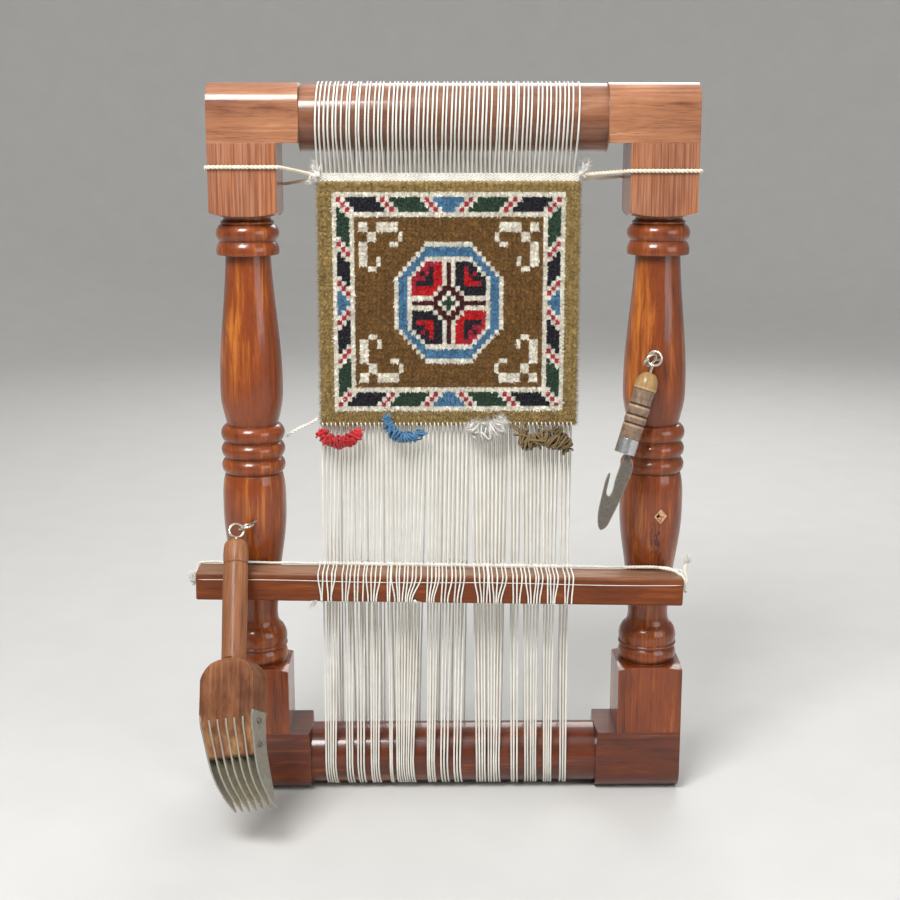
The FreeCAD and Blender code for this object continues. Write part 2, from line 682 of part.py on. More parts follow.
add_pad(comb, "comb_head", head_outline, "Sheet.comb_head_depth * 1.8", midplane=True)

# The head curves backwards like the blades: what stands before and behind its side profile goes.
half_depth = size("comb_head_depth") / 2
head_front = [(-half_depth, -PLATE_TOP), (-half_depth + 1.0, -119.5), (-half_depth + 3.5, -127.5),
              (0.2, -WOOD_END - 1)]
head_back = [(half_depth, -108), (9.0, -122), (10.3, -130.5), (13.2, -WOOD_END - 1)]
FAR = 20.0              # beyond the blank's faces
side_profile = new_sketch(comb, "comb_side_profile", "YZ_Plane")
add_path(side_profile, [
    ("line", [(-FAR, -HANDLE_END + 1), (-half_depth + 1.2, -HANDLE_END + 1),
              (-half_depth + 1.2, -HANDLE_END), (-half_depth, -HANDLE_END - 2), head_front[0]]),
    ("curve", head_front),
    ("line", [head_front[-1], (-FAR, -WOOD_END - 1), (-FAR, -HANDLE_END + 1)]),
    ("line", [(FAR, -HANDLE_END + 1), (half_depth - 1.2, -HANDLE_END + 1),
              (half_depth - 1.2, -HANDLE_END), (half_depth, -HANDLE_END - 2), head_back[0]]),
    ("curve", head_back),
    ("line", [head_back[-1], (FAR, -WOOD_END - 1), (FAR, -HANDLE_END + 1)]),
])
cut_through(comb, "comb_side_cut", side_profile)


def blade_place(number):
    """Where the blade of this number (-3 to 3) stands: fanned about the plates' tops."""
    return FreeCAD.Placement(Vec(number * BLADE_STEP, 0, -PLATE_TOP),
                             Rot(Vec(0, 1, 0), number * FAN))


SLOT_WIDTH = size("blade_thickness") + 0.16
for number in range(-2, 3):
    slot = comb.newObject("PartDesign::SubtractiveBox", "comb_slot_%d" % (number + 3))
    slot.Length = SLOT_WIDTH
    slot.Width = 2 * FAR
    slot.Height = 40
    corner = FreeCAD.Placement(Vec(-SLOT_WIDTH / 2, -FAR, -(SLOT_TOP - PLATE_TOP) - 40), Rot())
    slot.Placement = blade_place(number).multiply(corner)
    doc.recompute()

RIVETS = [(0.8, -118.5), (3.0, -131.5)]     # (y, z) of the two rivets in the comb's frame
RIVET_HOLE = size("rivet_radius") + 0.15
for number, (rivet_y, rivet_z) in enumerate(RIVETS):
    drill(comb, "comb_rivet_hole_%d" % number, "Sheet.rivet_radius + 0.15", 60,
          facing(Vec(-30, rivet_y, rivet_z), Vec(1, 0, 0)))
drill(comb, "comb_eye_hole", "Sheet.eye_hole_radius", 12,
      facing(Vec(0, 0, -HANDLE_TOP + 0.5), Vec(0, 0, -1)))


def blade_face(top):
    """The sickle outline of a blade, seen from its side, z measured from the plates' tops."""
    half = half_depth - 0.3
    front = [Vec(0, -half, -4), Vec(0, -half + 0.8, -8), Vec(0, -half + 3.4, -15),
             Vec(0, 0.2, -27), Vec(0, 3.7, -33.6), Vec(0, 8.0, -39), Vec(0, 15.0, -45.2),
             Vec(0, 22.5, -50), Vec(0, 27.8, -52.6)]
    back = [Vec(0, 27.8, -52.6), Vec(0, 21.6, -42.5), Vec(0, 16.4, -32.4), Vec(0, 12.6, -24.5),
            Vec(0, 9.9, -17), Vec(0, half + 1.1, -10), Vec(0, half, -4)]
    front_curve = Part.BSplineCurve()
    front_curve.interpolate(front)
    back_curve = Part.BSplineCurve()
    back_curve.interpolate(back)
    lines = [Part.LineSegment(back[-1], Vec(0, half, -top)).toShape(),
             Part.LineSegment(Vec(0, half, -top), Vec(0, -half, -top)).toShape(),
             Part.LineSegment(Vec(0, -half, -top), front[0]).toShape()]
    edges = [front_curve.toShape(), back_curve.toShape()] + lines
    return Part.Face(Part.Wire(Part.__sortEdges__(edges)))


def make_blade(number, top):
    thickness = size("blade_thickness")
    solid = blade_face(top).extrude(Vec(thickness, 0, 0))
    solid.translate(Vec(-thickness / 2, 0, 0))
    solid.Placement = blade_place(number).multiply(solid.Placement)
    for rivet_y, rivet_z in RIVETS:
        hole = Part.makeCylinder(RIVET_HOLE, 80, Vec(-40, rivet_y, rivet_z), Vec(1, 0, 0))
        solid = solid.cut(hole)
    return solid


computed("comb_blades", Part.makeCompound([make_blade(number, SLOT_TOP - PLATE_TOP + 0.3)
                                           for number in range(-2, 3)]), COMB_PLACE)


def make_cheek(side):
    """An outer plate, lying in the recess on one side of the head."""
    thickness = size("blade_thickness")
    solid = blade_face(0.15).extrude(Vec(thickness, 0, 0))
    middle = side * (half_low + 0.06 + thickness / 2)
    solid.translate(Vec(-thickness / 2, 0, 0))
    place = FreeCAD.Placement(Vec(middle, 0, -PLATE_TOP), Rot(Vec(0, 1, 0), side * 3 * FAN))
    solid.Placement = place.multiply(solid.Placement)
    for rivet_y, rivet_z in RIVETS:
        hole = Part.makeCylinder(RIVET_HOLE, 80, Vec(-40, rivet_y, rivet_z), Vec(1, 0, 0))
        solid = solid.cut(hole)
    return solid


computed("comb_cheek_plates", Part.makeCompound([make_cheek(-1), make_cheek(1)]), COMB_PLACE)

rivet_parts = []
for rivet_y, rivet_z in RIVETS:
    drop = -rivet_z - PLATE_TOP
    reach = half_low + size("blade_thickness") - drop * math.tan(math.radians(3 * FAN)) + 0.3
    shank = primitive("Part::Cylinder", "rivet_shank", facing(Vec(-reach, rivet_y, rivet_z), Vec(1, 0, 0)),
                      Radius="Sheet.rivet_radius")
    shank.Height = 2 * reach
    rivet_parts.append(shank)
    for side in (-1, 1):
        head = primitive("Part::Cylinder", "rivet_head",
                         facing(Vec(side * reach, rivet_y, rivet_z), Vec(side, 0, 0)),
                         Radius="Sheet.rivet_radius * 1.5", Height="Sheet.rivet_radius * 0.4")
        rivet_parts.append(head)
fused("comb_rivets", rivet_parts).Placement = COMB_PLACE

make_eye("comb_eye", comb_centre, comb_axis * -1, comb_eye_normal,
         HANDLE_TOP - size("eye_radius") + EYE_BITE)

# ---------------------------------------------------------------- knife

KNIFE_ROTATION = tool_rotation(size("knife_side"), size("knife_lean"), 0)
knife_axis = KNIFE_ROTATION.multVec(Vec(0, 0, -1))
knife_front = KNIFE_ROTATION.multVec(Vec(0, -1, 0))
knife_hang = point_on_ring(knife_ring[0], knife_ring[1], knife_ring[2], 255)
knife_centre, knife_eye_normal = hung_ring_centre(knife_hang, knife_axis, knife_front, 30, 20)
KNIFE_PLACE = FreeCAD.Placement(knife_centre, KNIFE_ROTATION)
KNIFE_TOP = 9.0         # distances down the knife's axis from its ring's centre
WOOD_BOTTOM = 50.5

knife = new_body("knife_handle", KNIFE_PLACE)
knife_outline = new_sketch(knife, "knife_outline", "XZ_Plane")
knife_r = size("knife_handle_radius")
add_path(knife_outline, [
    ("line", [(0, -WOOD_BOTTOM), (0, -KNIFE_TOP)]),
    ("line", [(0, -KNIFE_TOP), (2.4, -KNIFE_TOP)]),
    ("curve", [(2.4, -KNIFE_TOP), (5.0, -11), (6.5, -14.5), (knife_r, -18.6)]),
    ("line", [(knife_r, -18.6), (knife_r, -19.6), (6.5, -20.2)]),
    ("curve", [(6.5, -20.2), (6.3, -24), (6.6, -28.6)]),
    ("line", [(6.6, -28.6), (6.2, -29.1), (6.2, -29.5), (6.6, -30)]),
    ("arc", [(6.6, -30), (6.9, -32.6), (6.6, -35.2)]),
    ("line", [(6.6, -35.2), (6.2, -35.6), (6.2, -36), (6.6, -36.5)]),
    ("curve", [(6.6, -36.5), (6.75, -38.3), (6.5, -40.4)]),
    ("line", [(6.5, -40.4), (6.1, -40.9), (6.1, -41.3), (6.5, -41.8)]),
    ("curve", [(6.5, -41.8), (6.45, -45), (6.3, -WOOD_BOTTOM)]),
    ("line", [(6.3, -WOOD_BOTTOM), (0, -WOOD_BOTTOM)]),
])
revolve(knife, "knife_turned", knife_outline, "V_Axis")
drill(knife, "knife_eye_hole", "Sheet.eye_hole_radius", 12,
      facing(Vec(0, 0, -KNIFE_TOP + 0.5), Vec(0, 0, -1)))

ferrule = new_body("knife_ferrule", KNIFE_PLACE)
ferrule_outline = new_sketch(ferrule, "ferrule_outline", "XZ_Plane")
ferrule_r = size("ferrule_radius")
ferrule_end = WOOD_BOTTOM + 0.05 + size("ferrule_length")
add_path(ferrule_outline, [("line", [
    (0, -ferrule_end + 0.3), (0, -WOOD_BOTTOM - 0.05), (ferrule_r, -WOOD_BOTTOM - 0.05),
    (ferrule_r, -ferrule_end + 0.4), (ferrule_r - 0.4, -ferrule_end), (ferrule_r - 1.2, -ferrule_end),
    (ferrule_r - 1.6, -ferrule_end + 0.3), (0, -ferrule_end + 0.3)])])
revolve(ferrule, "ferrule_turned", ferrule_outline, "V_Axis")
TANG_HALF = 1.5
TANG_X = 2.3            # the tang sits off the handle's axis
tang_slot = new_sketch(ferrule, "tang_slot", "XZ_Plane")
tang_left = TANG_X - TANG_HALF - 0.1
tang_right = TANG_X + TANG_HALF + 0.1
add_polygon(tang_slot, [(tang_left, -WOOD_BOTTOM - 3), (tang_right, -WOOD_BOTTOM - 3),
                        (tang_right, -ferrule_end - 1), (tang_left, -ferrule_end - 1)])
slot_cut = ferrule.newObject("PartDesign::Pocket", "tang_pocket")
slot_cut.Profile = tang_slot
slot_cut.Midplane = True
slot_cut.setExpression("Length", "Sheet.knife_blade_thickness + 0.2")
doc.recompute()

blade = new_body("knife_blade", KNIFE_PLACE)
blade_outline = new_sketch(blade, "knife_blade_outline", "XZ_Plane")
tang_top = -WOOD_BOTTOM - 3.2
tang_side = TANG_X - TANG_HALF
add_path(blade_outline, [
    ("line", [(tang_side, -61.2), (tang_side, tang_top), (TANG_X + TANG_HALF, tang_top),
              (TANG_X + TANG_HALF, -61.2)]),
    ("curve", [(TANG_X + TANG_HALF, -61.2), (6.3, -63.5), (7.5, -68), (7.5, -73), (6.5, -83),
               (5.4, -92.5), (4.0, -101), (1.8, -107.3), (0, -108.4), (-1.6, -107), (-3.2, -103.5),
               (-4.9, -95), (-5.5, -86.5), (-6.0, -78.5), (-5.4, -73.6)]),
    ("line", [(-5.4, -73.6), (-4.6, -73.8)]),
    ("curve", [(-4.6, -73.8), (-4.2, -77), (-3.6, -84), (-2.6, -86.8), (-1.4, -87.3), (-0.6, -86.2),
               (-0.3, -79), (-0.3, -70), (-0.1, -64.5), (tang_side, -61.2)]),
])
add_pad(blade, "knife_blade_pad", blade_outline, "Sheet.knife_blade_thickness", midplane=True)

make_eye("knife_eye", knife_centre, knife_axis * -1, knife_eye_normal,
         KNIFE_TOP - size("eye_radius") + EYE_BITE)

# ---------------------------------------------------------------- checks and export

# The loom is drawn about the middle of its base. Its origin is the middle of the left foot, so
# every finished piece moves along the beams by the same amount.
doc.recompute()
to_left_foot = FreeCAD.Placement(Vec((size("frame_width") - size("stock")) / 2, 0, 0), Rot())
for node in NODES:
    node.Placement = to_left_foot.multiply(node.Placement)
doc.recompute()
for item in doc.Objects:
    if "Invalid" in item.State or "Error" in item.State:
        raise ValueError("%s is %s" % (item.Name, item.State))
os.makedirs("parts", exist_ok=True)
for node in NODES:
    shape = node.Shape
    if shape.isNull() or not shape.isValid() or not shape.Solids:
        raise ValueError(node.Label + " has no valid solid")
    shape.exportStep("parts/%s.step" % node.Label)
    box = shape.BoundBox
    print("%-20s solids %3d volume %10.1f  x %.1f..%.1f y %.1f..%.1f z %.1f..%.1f" % (
        node.Label, len(shape.Solids), shape.Volume, box.XMin, box.XMax,
        box.YMin, box.YMax, box.ZMin, box.ZMax))
for tool, pivot in (("comb", comb_hang), ("knife", knife_hang)):
    print(tool, "pivot", to_left_foot.multVec(pivot))
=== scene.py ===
"""Looks of the tapestry frame loom: turned and lacquered wood, cotton warp and leashes, knotted
wool carpet, yarn ends, and the two steel tools. Lengths are millimetres about the loom's middle
(x across, y to the back, z up) until a mesh is made, which shifts and scales them into the row
frame."""
import math

import bpy
import numpy as np
from mathutils import Matrix, Vector


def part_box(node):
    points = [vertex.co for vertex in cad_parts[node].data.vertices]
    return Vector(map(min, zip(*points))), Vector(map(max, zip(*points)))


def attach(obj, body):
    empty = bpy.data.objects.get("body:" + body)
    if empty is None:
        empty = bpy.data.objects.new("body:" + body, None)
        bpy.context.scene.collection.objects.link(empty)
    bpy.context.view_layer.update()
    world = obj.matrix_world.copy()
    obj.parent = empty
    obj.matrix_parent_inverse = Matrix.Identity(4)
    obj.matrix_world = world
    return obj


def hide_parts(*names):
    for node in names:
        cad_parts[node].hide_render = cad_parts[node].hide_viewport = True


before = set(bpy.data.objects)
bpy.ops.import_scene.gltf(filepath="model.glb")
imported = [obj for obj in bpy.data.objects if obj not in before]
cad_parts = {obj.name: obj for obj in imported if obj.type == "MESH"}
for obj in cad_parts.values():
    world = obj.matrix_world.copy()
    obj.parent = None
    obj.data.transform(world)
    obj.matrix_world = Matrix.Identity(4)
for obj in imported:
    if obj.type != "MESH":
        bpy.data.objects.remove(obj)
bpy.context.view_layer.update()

MM = 0.001
beam_low, beam_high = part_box("bottom_beam")
MIDDLE = np.array([(beam_low.x + beam_high.x) / 2 / MM, 0.0, 0.0])    # the loom's middle, mm
rng = np.random.default_rng(7)
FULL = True
TURN = 2 * math.pi


# ---- meshes made of strands

def unit(v):
    return v / np.maximum(np.linalg.norm(v, axis=-1, keepdims=True), 1e-9)


def dots(*coordinates):
    """Points (..., 3), or (..., 2), from their coordinates; a single number serves for all."""
    return np.stack(np.broadcast_arrays(*coordinates), axis=-1)


def run_along(P):
    """The length run from each path's start to each of its points (..., steps, 3)."""
    steps = np.linalg.norm(np.diff(P, axis=-2), axis=-1)
    return np.concatenate([np.zeros((*P.shape[:-2], 1)), np.cumsum(steps, axis=-1)], axis=-1)


def around(angle, u, v):
    """Offsets that turn from u to v with the angle."""
    return np.cos(angle)[..., None] * u + np.sin(angle)[..., None] * v


def smooth(t):
    t = np.clip(t, 0, 1)
    return t * t * (3 - 2 * t)


def srgb(code):
    """A colour written as RRGGBB, as linear values."""
    c = np.array([int(code[k:k + 2], 16) for k in (0, 2, 4)]) / 255
    return np.where(c <= 0.04045, c / 12.92, ((c + 0.055) / 1.055) ** 2.4)


class Soup:
    """Many small shapes gathered into one mesh, with a UV map 'strand' and the colours 'tint'."""

    def __init__(self):
        self.points, self.faces, self.uvs, self.tints, self.count = [], [], [], [], 0

    def add(self, points, faces, uv, tint):
        """points (n, 3); faces (m, 3 or 4); uv (n, 2); tint (3,) or (n, 3)."""
        points = np.asarray(points, float).reshape(-1, 3)
        self.points.append(points)
        self.faces.append(np.asarray(faces, int) + self.count)
        self.uvs.append(np.asarray(uv, float).reshape(-1, 2))
        self.tints.append(np.broadcast_to(tint, points.shape).astype(float))
        self.count += len(points)

    def mesh(self, name, body, slot, look, *nodes):
        points = (np.concatenate(self.points) + MIDDLE) * MM
        me = bpy.data.meshes.new(name)
        me.vertices.add(len(points))
        me.vertices.foreach_set("co", points.astype(np.float32).ravel())
        loops = np.concatenate([f.ravel() for f in self.faces])
        sizes = np.concatenate([np.full(len(f), f.shape[1]) for f in self.faces])
        me.loops.add(len(loops))
        me.loops.foreach_set("vertex_index", loops.astype(np.int32))
        me.polygons.add(len(sizes))
        me.polygons.foreach_set("loop_start", (np.cumsum(sizes) - sizes).astype(np.int32))
        me.polygons.foreach_set("use_smooth", np.ones(len(sizes), bool))
        me.update(calc_edges=True)
        layer = me.uv_layers.new(name="strand")
        layer.data.foreach_set("uv", np.concatenate(self.uvs)[loops].astype(np.float32).ravel())
        tint = me.color_attributes.new("tint", "FLOAT_COLOR", "POINT")
        rgba = np.ones((len(points), 4), np.float32)
        rgba[:, :3] = np.concatenate(self.tints)
        tint.data.foreach_set("color", rgba.ravel())
        me.materials.append(look)
        me.validate()
        ob = bpy.data.objects.new(name, me)
        bpy.context.scene.collection.objects.link(ob)
        if body:
            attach(ob, body)
        if nodes:
            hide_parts(*nodes)
        return ob


def sheet(soup, V, tint, flip=False):
    """Grids of quads: V (grids, rows, columns, 3); tint (3,) or one for each point; flip turns
    the faces over."""
    grids, rows, columns = V.shape[:3]
    g, k, j = np.meshgrid(np.arange(grids), np.arange(rows - 1), np.arange(columns - 1), indexing="ij")
    first = ((g * rows + k) * columns + j).ravel()
    ring = [first, first + 1, first + columns + 1, first + columns]
    soup.add(V, np.stack(ring[:1] + ring[:0:-1] if flip else ring, axis=1), np.zeros((V.size // 3, 2)),
             tint)


def curve(points, step=1.0):
    """A smooth path through points, resampled at about one step apart."""
    p = np.asarray(points, float)
    p = np.concatenate([[2 * p[0] - p[1]], p, [2 * p[-1] - p[-2]]])
    out = []
    for a, b, c, d in zip(p[:-3], p[1:-2], p[2:-1], p[3:]):
        t = np.linspace(0, 1, 24, endpoint=False)[:, None]
        out.append(0.5 * (2 * b + (c - a) * t + (2 * a - 5 * b + 4 * c - d) * t ** 2
                          + (3 * b - a - 3 * c + d) * t ** 3))
    out.append(p[-2:-1])
    return resample(np.concatenate(out), step)


def read_off(path, run, at):
    """Points of a path at the distances at; run holds the distances of the path's own points."""
    return np.stack([np.interp(at, run, path[:, k]) for k in range(3)], axis=1)


def resample(path, step):
    run = run_along(path)
    at = np.linspace(0, run[-1], max(4, int(run[-1] / step)))
    return read_off(path, run, at)


def eased(path, window):
    """The path with its corners rounded off over a few points; its ends stay."""
    k = np.hanning(window + 2)[1:-1]
    padded = np.concatenate([np.repeat(path[:1], window // 2, 0), path,
                             np.repeat(path[-1:], window // 2, 0)])
    out = np.stack([np.convolve(padded[:, i], k / k.sum(), "same") for i in range(3)], axis=1)
    out = out[window // 2:window // 2 + len(path)]
    out[0], out[-1] = path[0], path[-1]
    return out


def frames(P):
    """Normals and binormals along strands P (strands, steps, 3), with no needless twist."""
    T = unit(np.gradient(P, axis=1))
    ref = np.where(np.abs(T[:, 0, 2:3]) < 0.9, [[0.0, 0, 1]], [[1.0, 0, 0]])
    n = unit(np.cross(T[:, 0], ref))
    N = [n]
    for k in range(1, P.shape[1]):
        n = unit(n - (n * T[:, k]).sum(-1, keepdims=True) * T[:, k])
        N.append(n)
    N = np.stack(N, axis=1)
    return N, np.cross(T, N)


def tubes(soup, P, radius, tint, sides=7, taper=True):
    """Round strands along P (strands, steps, 3) or one path (steps, 3); radius a number or
    (strands, steps); tint (3,) or (strands, 3)."""
    P = np.asarray(P, float)
    P = P[None] if P.ndim == 2 else P
    S, n = P.shape[:2]
    R = np.broadcast_to(radius, (S, n)).copy()
    if taper:
        R[:, [0, -1]] *= 0.15
    N, B = frames(P)
    a = np.linspace(0, TURN, sides + 1)
    V = P[:, :, None] + R[:, :, None, None] * around(a, N[:, :, None], B[:, :, None])
    run = run_along(P) + rng.uniform(0, 50, (S, 1))
    uv = dots((a / TURN)[None, None], run[:, :, None])
    s, k, j = np.meshgrid(np.arange(S), np.arange(n - 1), np.arange(sides), indexing="ij")
    first = ((s * n + k) * (sides + 1) + j).ravel()
    quads = np.stack([first, first + 1, first + sides + 2, first + sides + 1], axis=1)
    tint = np.asarray(tint, float)
    if tint.ndim == 2:
        tint = np.repeat(tint, n * (sides + 1), axis=0)
    soup.add(V, quads, uv, tint)


def twisted(soup, path, radius, tint, plies=2, pitch=3.2, sides=6):
    """A cord of plies laid round each other along one path (steps, 3)."""
    path = resample(path, pitch / 8)
    N, B = frames(path[None])
    angle = TURN * (run_along(path) / pitch + np.arange(plies)[:, None] / plies)
    tubes(soup, path + 0.52 * radius * around(angle, N[0], B[0]), 0.56 * radius, tint, sides)


def fibres(soup, root, tip, bend, width, tint, shade=0.62):
    """Fine three-sided hairs from root to tip (n, 3), bent by bend (n, 3); painted shade makes them
    darker at the root.
    """
    n = len(root)
    axis = unit(tip - root)
    side = unit(np.cross(axis, rng.normal(size=(n, 3))))
    other = np.cross(axis, side)
    a = np.arange(3) * TURN / 3
    ring = around(a, side[:, None], other[:, None]) * np.broadcast_to(width, (n,))[:, None, None]
    half_way = (root + tip) / 2 + bend
    V = np.concatenate([root[:, None] + ring, half_way[:, None] + 0.85 * ring, tip[:, None]], axis=1)
    base = (np.arange(n) * 7)[:, None, None]
    j = np.arange(3)
    quads = np.stack([j, (j + 1) % 3, (j + 1) % 3 + 3, j + 3], axis=1)[None] + base
    tips = np.stack([j + 3, (j + 1) % 3 + 3, np.full(3, 6)], axis=1)[None] + base
    level = np.repeat([0.0, 0.5, 1.0], [3, 3, 1])
    uv = dots(level * 0.5, level * 2 + np.zeros((n, 1)))
    # painted shade: the tint is darkened towards the root
    tint = np.broadcast_to(tint, (n, 3))[:, None] * (shade + (1 - shade) * level)[None, :, None]
    start = soup.count
    soup.add(V, quads.reshape(-1, 4), uv, tint.reshape(-1, 3))
    soup.faces.append(tips.reshape(-1, 3) + start)


def lint(soup, P, count, length, tint, width=0.035):
    """Loose hairs standing off strands P (strands, steps, 3)."""
    if not FULL:
        count = count // 4
    s = rng.integers(0, P.shape[0], count)
    k = rng.integers(1, P.shape[1] - 1, count)
    root = P[s, k]
    along = unit(P[s, k + 1] - P[s, k - 1])
    out = unit(np.cross(along, rng.normal(size=(count, 3))))
    reach = (length * rng.uniform(0.4, 1.2, count))[:, None]
    tip = root + reach * (0.75 * out + rng.uniform(-0.9, 0.9, (count, 1)) * along)
    bend = reach * 0.25 * rng.normal(size=(count, 3))
    fibres(soup, root, tip, bend, width, tint, 0.9)


def fray(soup, point, direction, count, length, spread, tint, width=0.14):
    """The loose end of a cord: hairs that fan out from point."""
    d = unit(np.asarray(direction, float) + spread * rng.normal(size=(count, 3)))
    reach = (length * rng.uniform(0.55, 1.1, count))[:, None]
    root = np.asarray(point, float) + 0.25 * rng.normal(size=(count, 3))
    fibres(soup, root, root + reach * d, reach * 0.18 * rng.normal(size=(count, 3)), width, tint, 0.85)


def knot(soup, centre, size, radius, tint, loops=4):
    """A tight knot: a few small loops wound over each other."""
    t = np.linspace(0, TURN, 26)
    for _ in range(loops):
        u, v = unit(rng.normal(size=(2, 3)))
        v = unit(v - (u @ v) * u)
        ring = np.asarray(centre) + size * around(t, u, 0.75 * v)
        tubes(soup, ring + 0.12 * size * rng.normal(size=3), radius, tint, 6, False)


# ---- procedural looks

class Look:
    """A node material written as short formulas."""

    def __init__(self, name):
        self.material = bpy.data.materials.new(name)
        self.material.use_nodes = True
        self.tree = self.material.node_tree
        self.tree.nodes.clear()
        self.bsdf = self.node("BsdfPrincipled")
        out = self.node("OutputMaterial")
        self.tree.links.new(self.bsdf.outputs[0], out.inputs[0])

    def node(self, kind, inputs=None, **settings):
        n = self.tree.nodes.new("ShaderNode" + kind)
        for key, value in settings.items():
            setattr(n, key, value)
        for key, value in (inputs or {}).items():
            self.plug(n.inputs[key], value)
        return n

    def plug(self, socket, value):
        if isinstance(value, bpy.types.NodeSocket):
            self.tree.links.new(value, socket)
        elif socket.type == "RGBA":
            socket.default_value = (*(srgb(value) if isinstance(value, str) else value), 1)
        else:
            socket.default_value = value

    def set(self, **values):
        for key, value in values.items():
            self.plug(self.bsdf.inputs[key.replace("_", " ")], value)

    def math(self, kind, a, b=0.0, c=0.0):
        return self.node("Math", {0: a, 1: b, 2: c}, operation=kind).outputs[0]

    def times(self, a, b):
        return self.math("MULTIPLY", a, b)

    def mad(self, a, b, c):
        """a times b, plus c."""
        return self.math("MULTIPLY_ADD", a, b, c)

    def off(self, value, level):
        """How far a value is from a level, either way."""
        return self.math("ABSOLUTE", self.math("SUBTRACT", value, level))

    def hidden(self, reach):
        """Ambient occlusion: 0 deep in a corner, 1 in the open."""
        return self.node("AmbientOcclusion", {"Distance": reach * MM}, samples=6).outputs["AO"]

    def edges(self, radius, low, high):
        """A normal softened over the edges, and how strong the edge is, 0 to 1."""
        soft = self.node("Bevel", {"Radius": radius * MM}, samples=4).outputs[0]
        true = self.node("NewGeometry").outputs["Normal"]
        turn = self.math("SUBTRACT", 1.0, self.vector("DOT_PRODUCT", soft, true))
        return soft, self.span(turn, low, high)

    def tinted(self, shade):
        """The strands' own tint times a shade, as the base colour."""
        tint = self.node("Attribute", attribute_name="tint").outputs["Color"]
        return self.mix(1.0, tint, self.join(shade, shade, shade), "MULTIPLY")

    def span(self, value, low, high, to_low=0.0, to_high=1.0):
        n = self.node("MapRange", {0: value, 1: low, 2: high, 3: to_low, 4: to_high}, clamp=True)
        return n.outputs[0]

    def vector(self, kind, a, b):
        n = self.node("VectorMath", {0: a, 1: b}, operation=kind)
        return n.outputs["Value" if kind == "DOT_PRODUCT" else "Vector"]

    def noise(self, place, stretch, detail=3.0, rough=0.55, twist=0.0):
        """Noise with so many cells a millimetre: one number, or one for each axis."""
        at = self.vector("MULTIPLY", place, tuple(np.broadcast_to(stretch, 3).astype(float)))
        n = self.node("TexNoise", {"Vector": at, "Scale": 1.0, "Detail": detail, "Roughness": rough,
                                   "Distortion": twist})
        return n.outputs[0]

    def ramp(self, value, stops):
        n = self.node("ValToRGB", {0: value})
        ramp = n.color_ramp
        while len(ramp.elements) < len(stops):
            ramp.elements.new(0.5)
        for element, (at, colour) in zip(ramp.elements, stops):
            element.position = at
            element.color = (*[float(c) for c in colour], 1)
        return n.outputs[0]

    def mix(self, share, a, b, kind="MIX"):
        n = self.node("Mix", data_type="RGBA", blend_type=kind)
        for index, value in ((0, share), (6, a), (7, b)):
            self.plug(n.inputs[index], value)
        return n.outputs[2]

    def xyz(self, vector):
        n = self.node("SeparateXYZ", {0: vector})
        return n.outputs[0], n.outputs[1], n.outputs[2]

    def join(self, x, y, z):
        return self.node("CombineXYZ", {0: x, 1: y, 2: z}).outputs[0]

    def bump(self, height, distance, strength=1.0, normal=None):
        inputs = {"Height": height, "Distance": distance * MM, "Strength": strength}
        if normal is not None:
            inputs["Normal"] = normal
        self.plug(self.bsdf.inputs["Normal"], self.node("Bump", inputs).outputs[0])

    def place(self, along="Z", tool=None):
        """Coordinates in mm about the loom's middle, or a tool's, with the grain along z."""
        at = self.vector("MULTIPLY", self.node("TexCoord").outputs["Object"], (1 / MM,) * 3)
        at = self.vector("SUBTRACT", at, tuple(MIDDLE + (tool[1] if tool else 0)))
        if tool:
            at = self.join(*[self.vector("DOT_PRODUCT", at, tuple(axis)) for axis in tool[0].T])
        if along == "X":
            x, y, z = self.xyz(at)
            at = self.join(y, z, x)
        return at


def wood(name, tones, along="Z", pith=(38, 26), lacquer=0.7, rough=0.34, wear=0.35, tool=None,
         extra=None):
    """Turned or planed hardwood: growth rings about a pith line, streaks, pores, worn edges, and painted
    shade in grooves and corners."""
    look = Look(name)
    at = look.place(along, tool)
    x, y, z = look.xyz(at)
    sway = look.noise(at, (0.035, 0.035, 0.011), 2)
    dx, dy = look.math("SUBTRACT", x, pith[0]), look.math("SUBTRACT", y, pith[1])
    r = look.mad(sway, 15.0, look.math("SQRT", look.mad(dx, dx, look.times(dy, dy))))
    rings = look.noise(look.join(r, look.times(z, 0.012), 3.0), (0.42, 1, 1), 5, 0.62)
    streaks = look.noise(at, (0.42, 0.42, 0.009), 6, 0.62, 0.3)
    blotch = look.noise(at, (0.05, 0.05, 0.018), 2)
    tone = look.mad(rings, 0.40, look.mad(streaks, 0.33, look.times(blotch, 0.40)))
    dark, mid, light = (srgb(c) for c in tones)
    colour = look.ramp(tone, [(0.38, dark), (0.50, 0.3 * dark + 0.7 * mid), (0.60, mid), (0.76, light)])
    pores = look.span(look.noise(at, (2.6, 2.6, 0.10), 2, 0.5), 0.57, 0.68)
    pores = look.times(pores, look.span(rings, 0.40, 0.62, 1.0, 0.35))
    colour = look.mix(look.times(pores, 0.6), colour, dark * 0.35)
    soft, edge = look.edges(0.9, 0.01, 0.16)
    scuff = look.noise(at, (0.5, 0.5, 0.4), 4, 0.65)
    edge = look.times(edge, look.span(scuff, 0.42, 0.62))
    colour = look.mix(look.times(edge, wear), colour, 0.35 * mid + 0.75 * light)
    # painted shade: ambient occlusion darkens the colour in grooves and corners
    painted_groove_shade = look.span(look.hidden(5), 0.25, 0.92, 0.32, 1.0)
    colour = look.mix(1.0, colour, look.join(painted_groove_shade, painted_groove_shade, painted_groove_shade), "MULTIPLY")
    if extra:
        colour = extra(look, look.place(), colour)
    marks = look.span(look.noise(at, (1.9, 0.5, 0.08), 3, 0.6), 0.60, 0.72)
    shine = look.mad(scuff, 0.22, rough - 0.11)
    shine = look.mad(marks, 0.10, shine)
    look.set(Base_Color=colour, Roughness=shine, Coat_Weight=lacquer, Coat_Roughness=0.05 + rough * 0.2,
             Specular_IOR_Level=0.25)
    height = look.mad(pores, -0.7, look.mad(rings, 0.5, look.times(scuff, 0.35)))
    look.bump(height, 0.10, 0.55, soft)
    return look.material


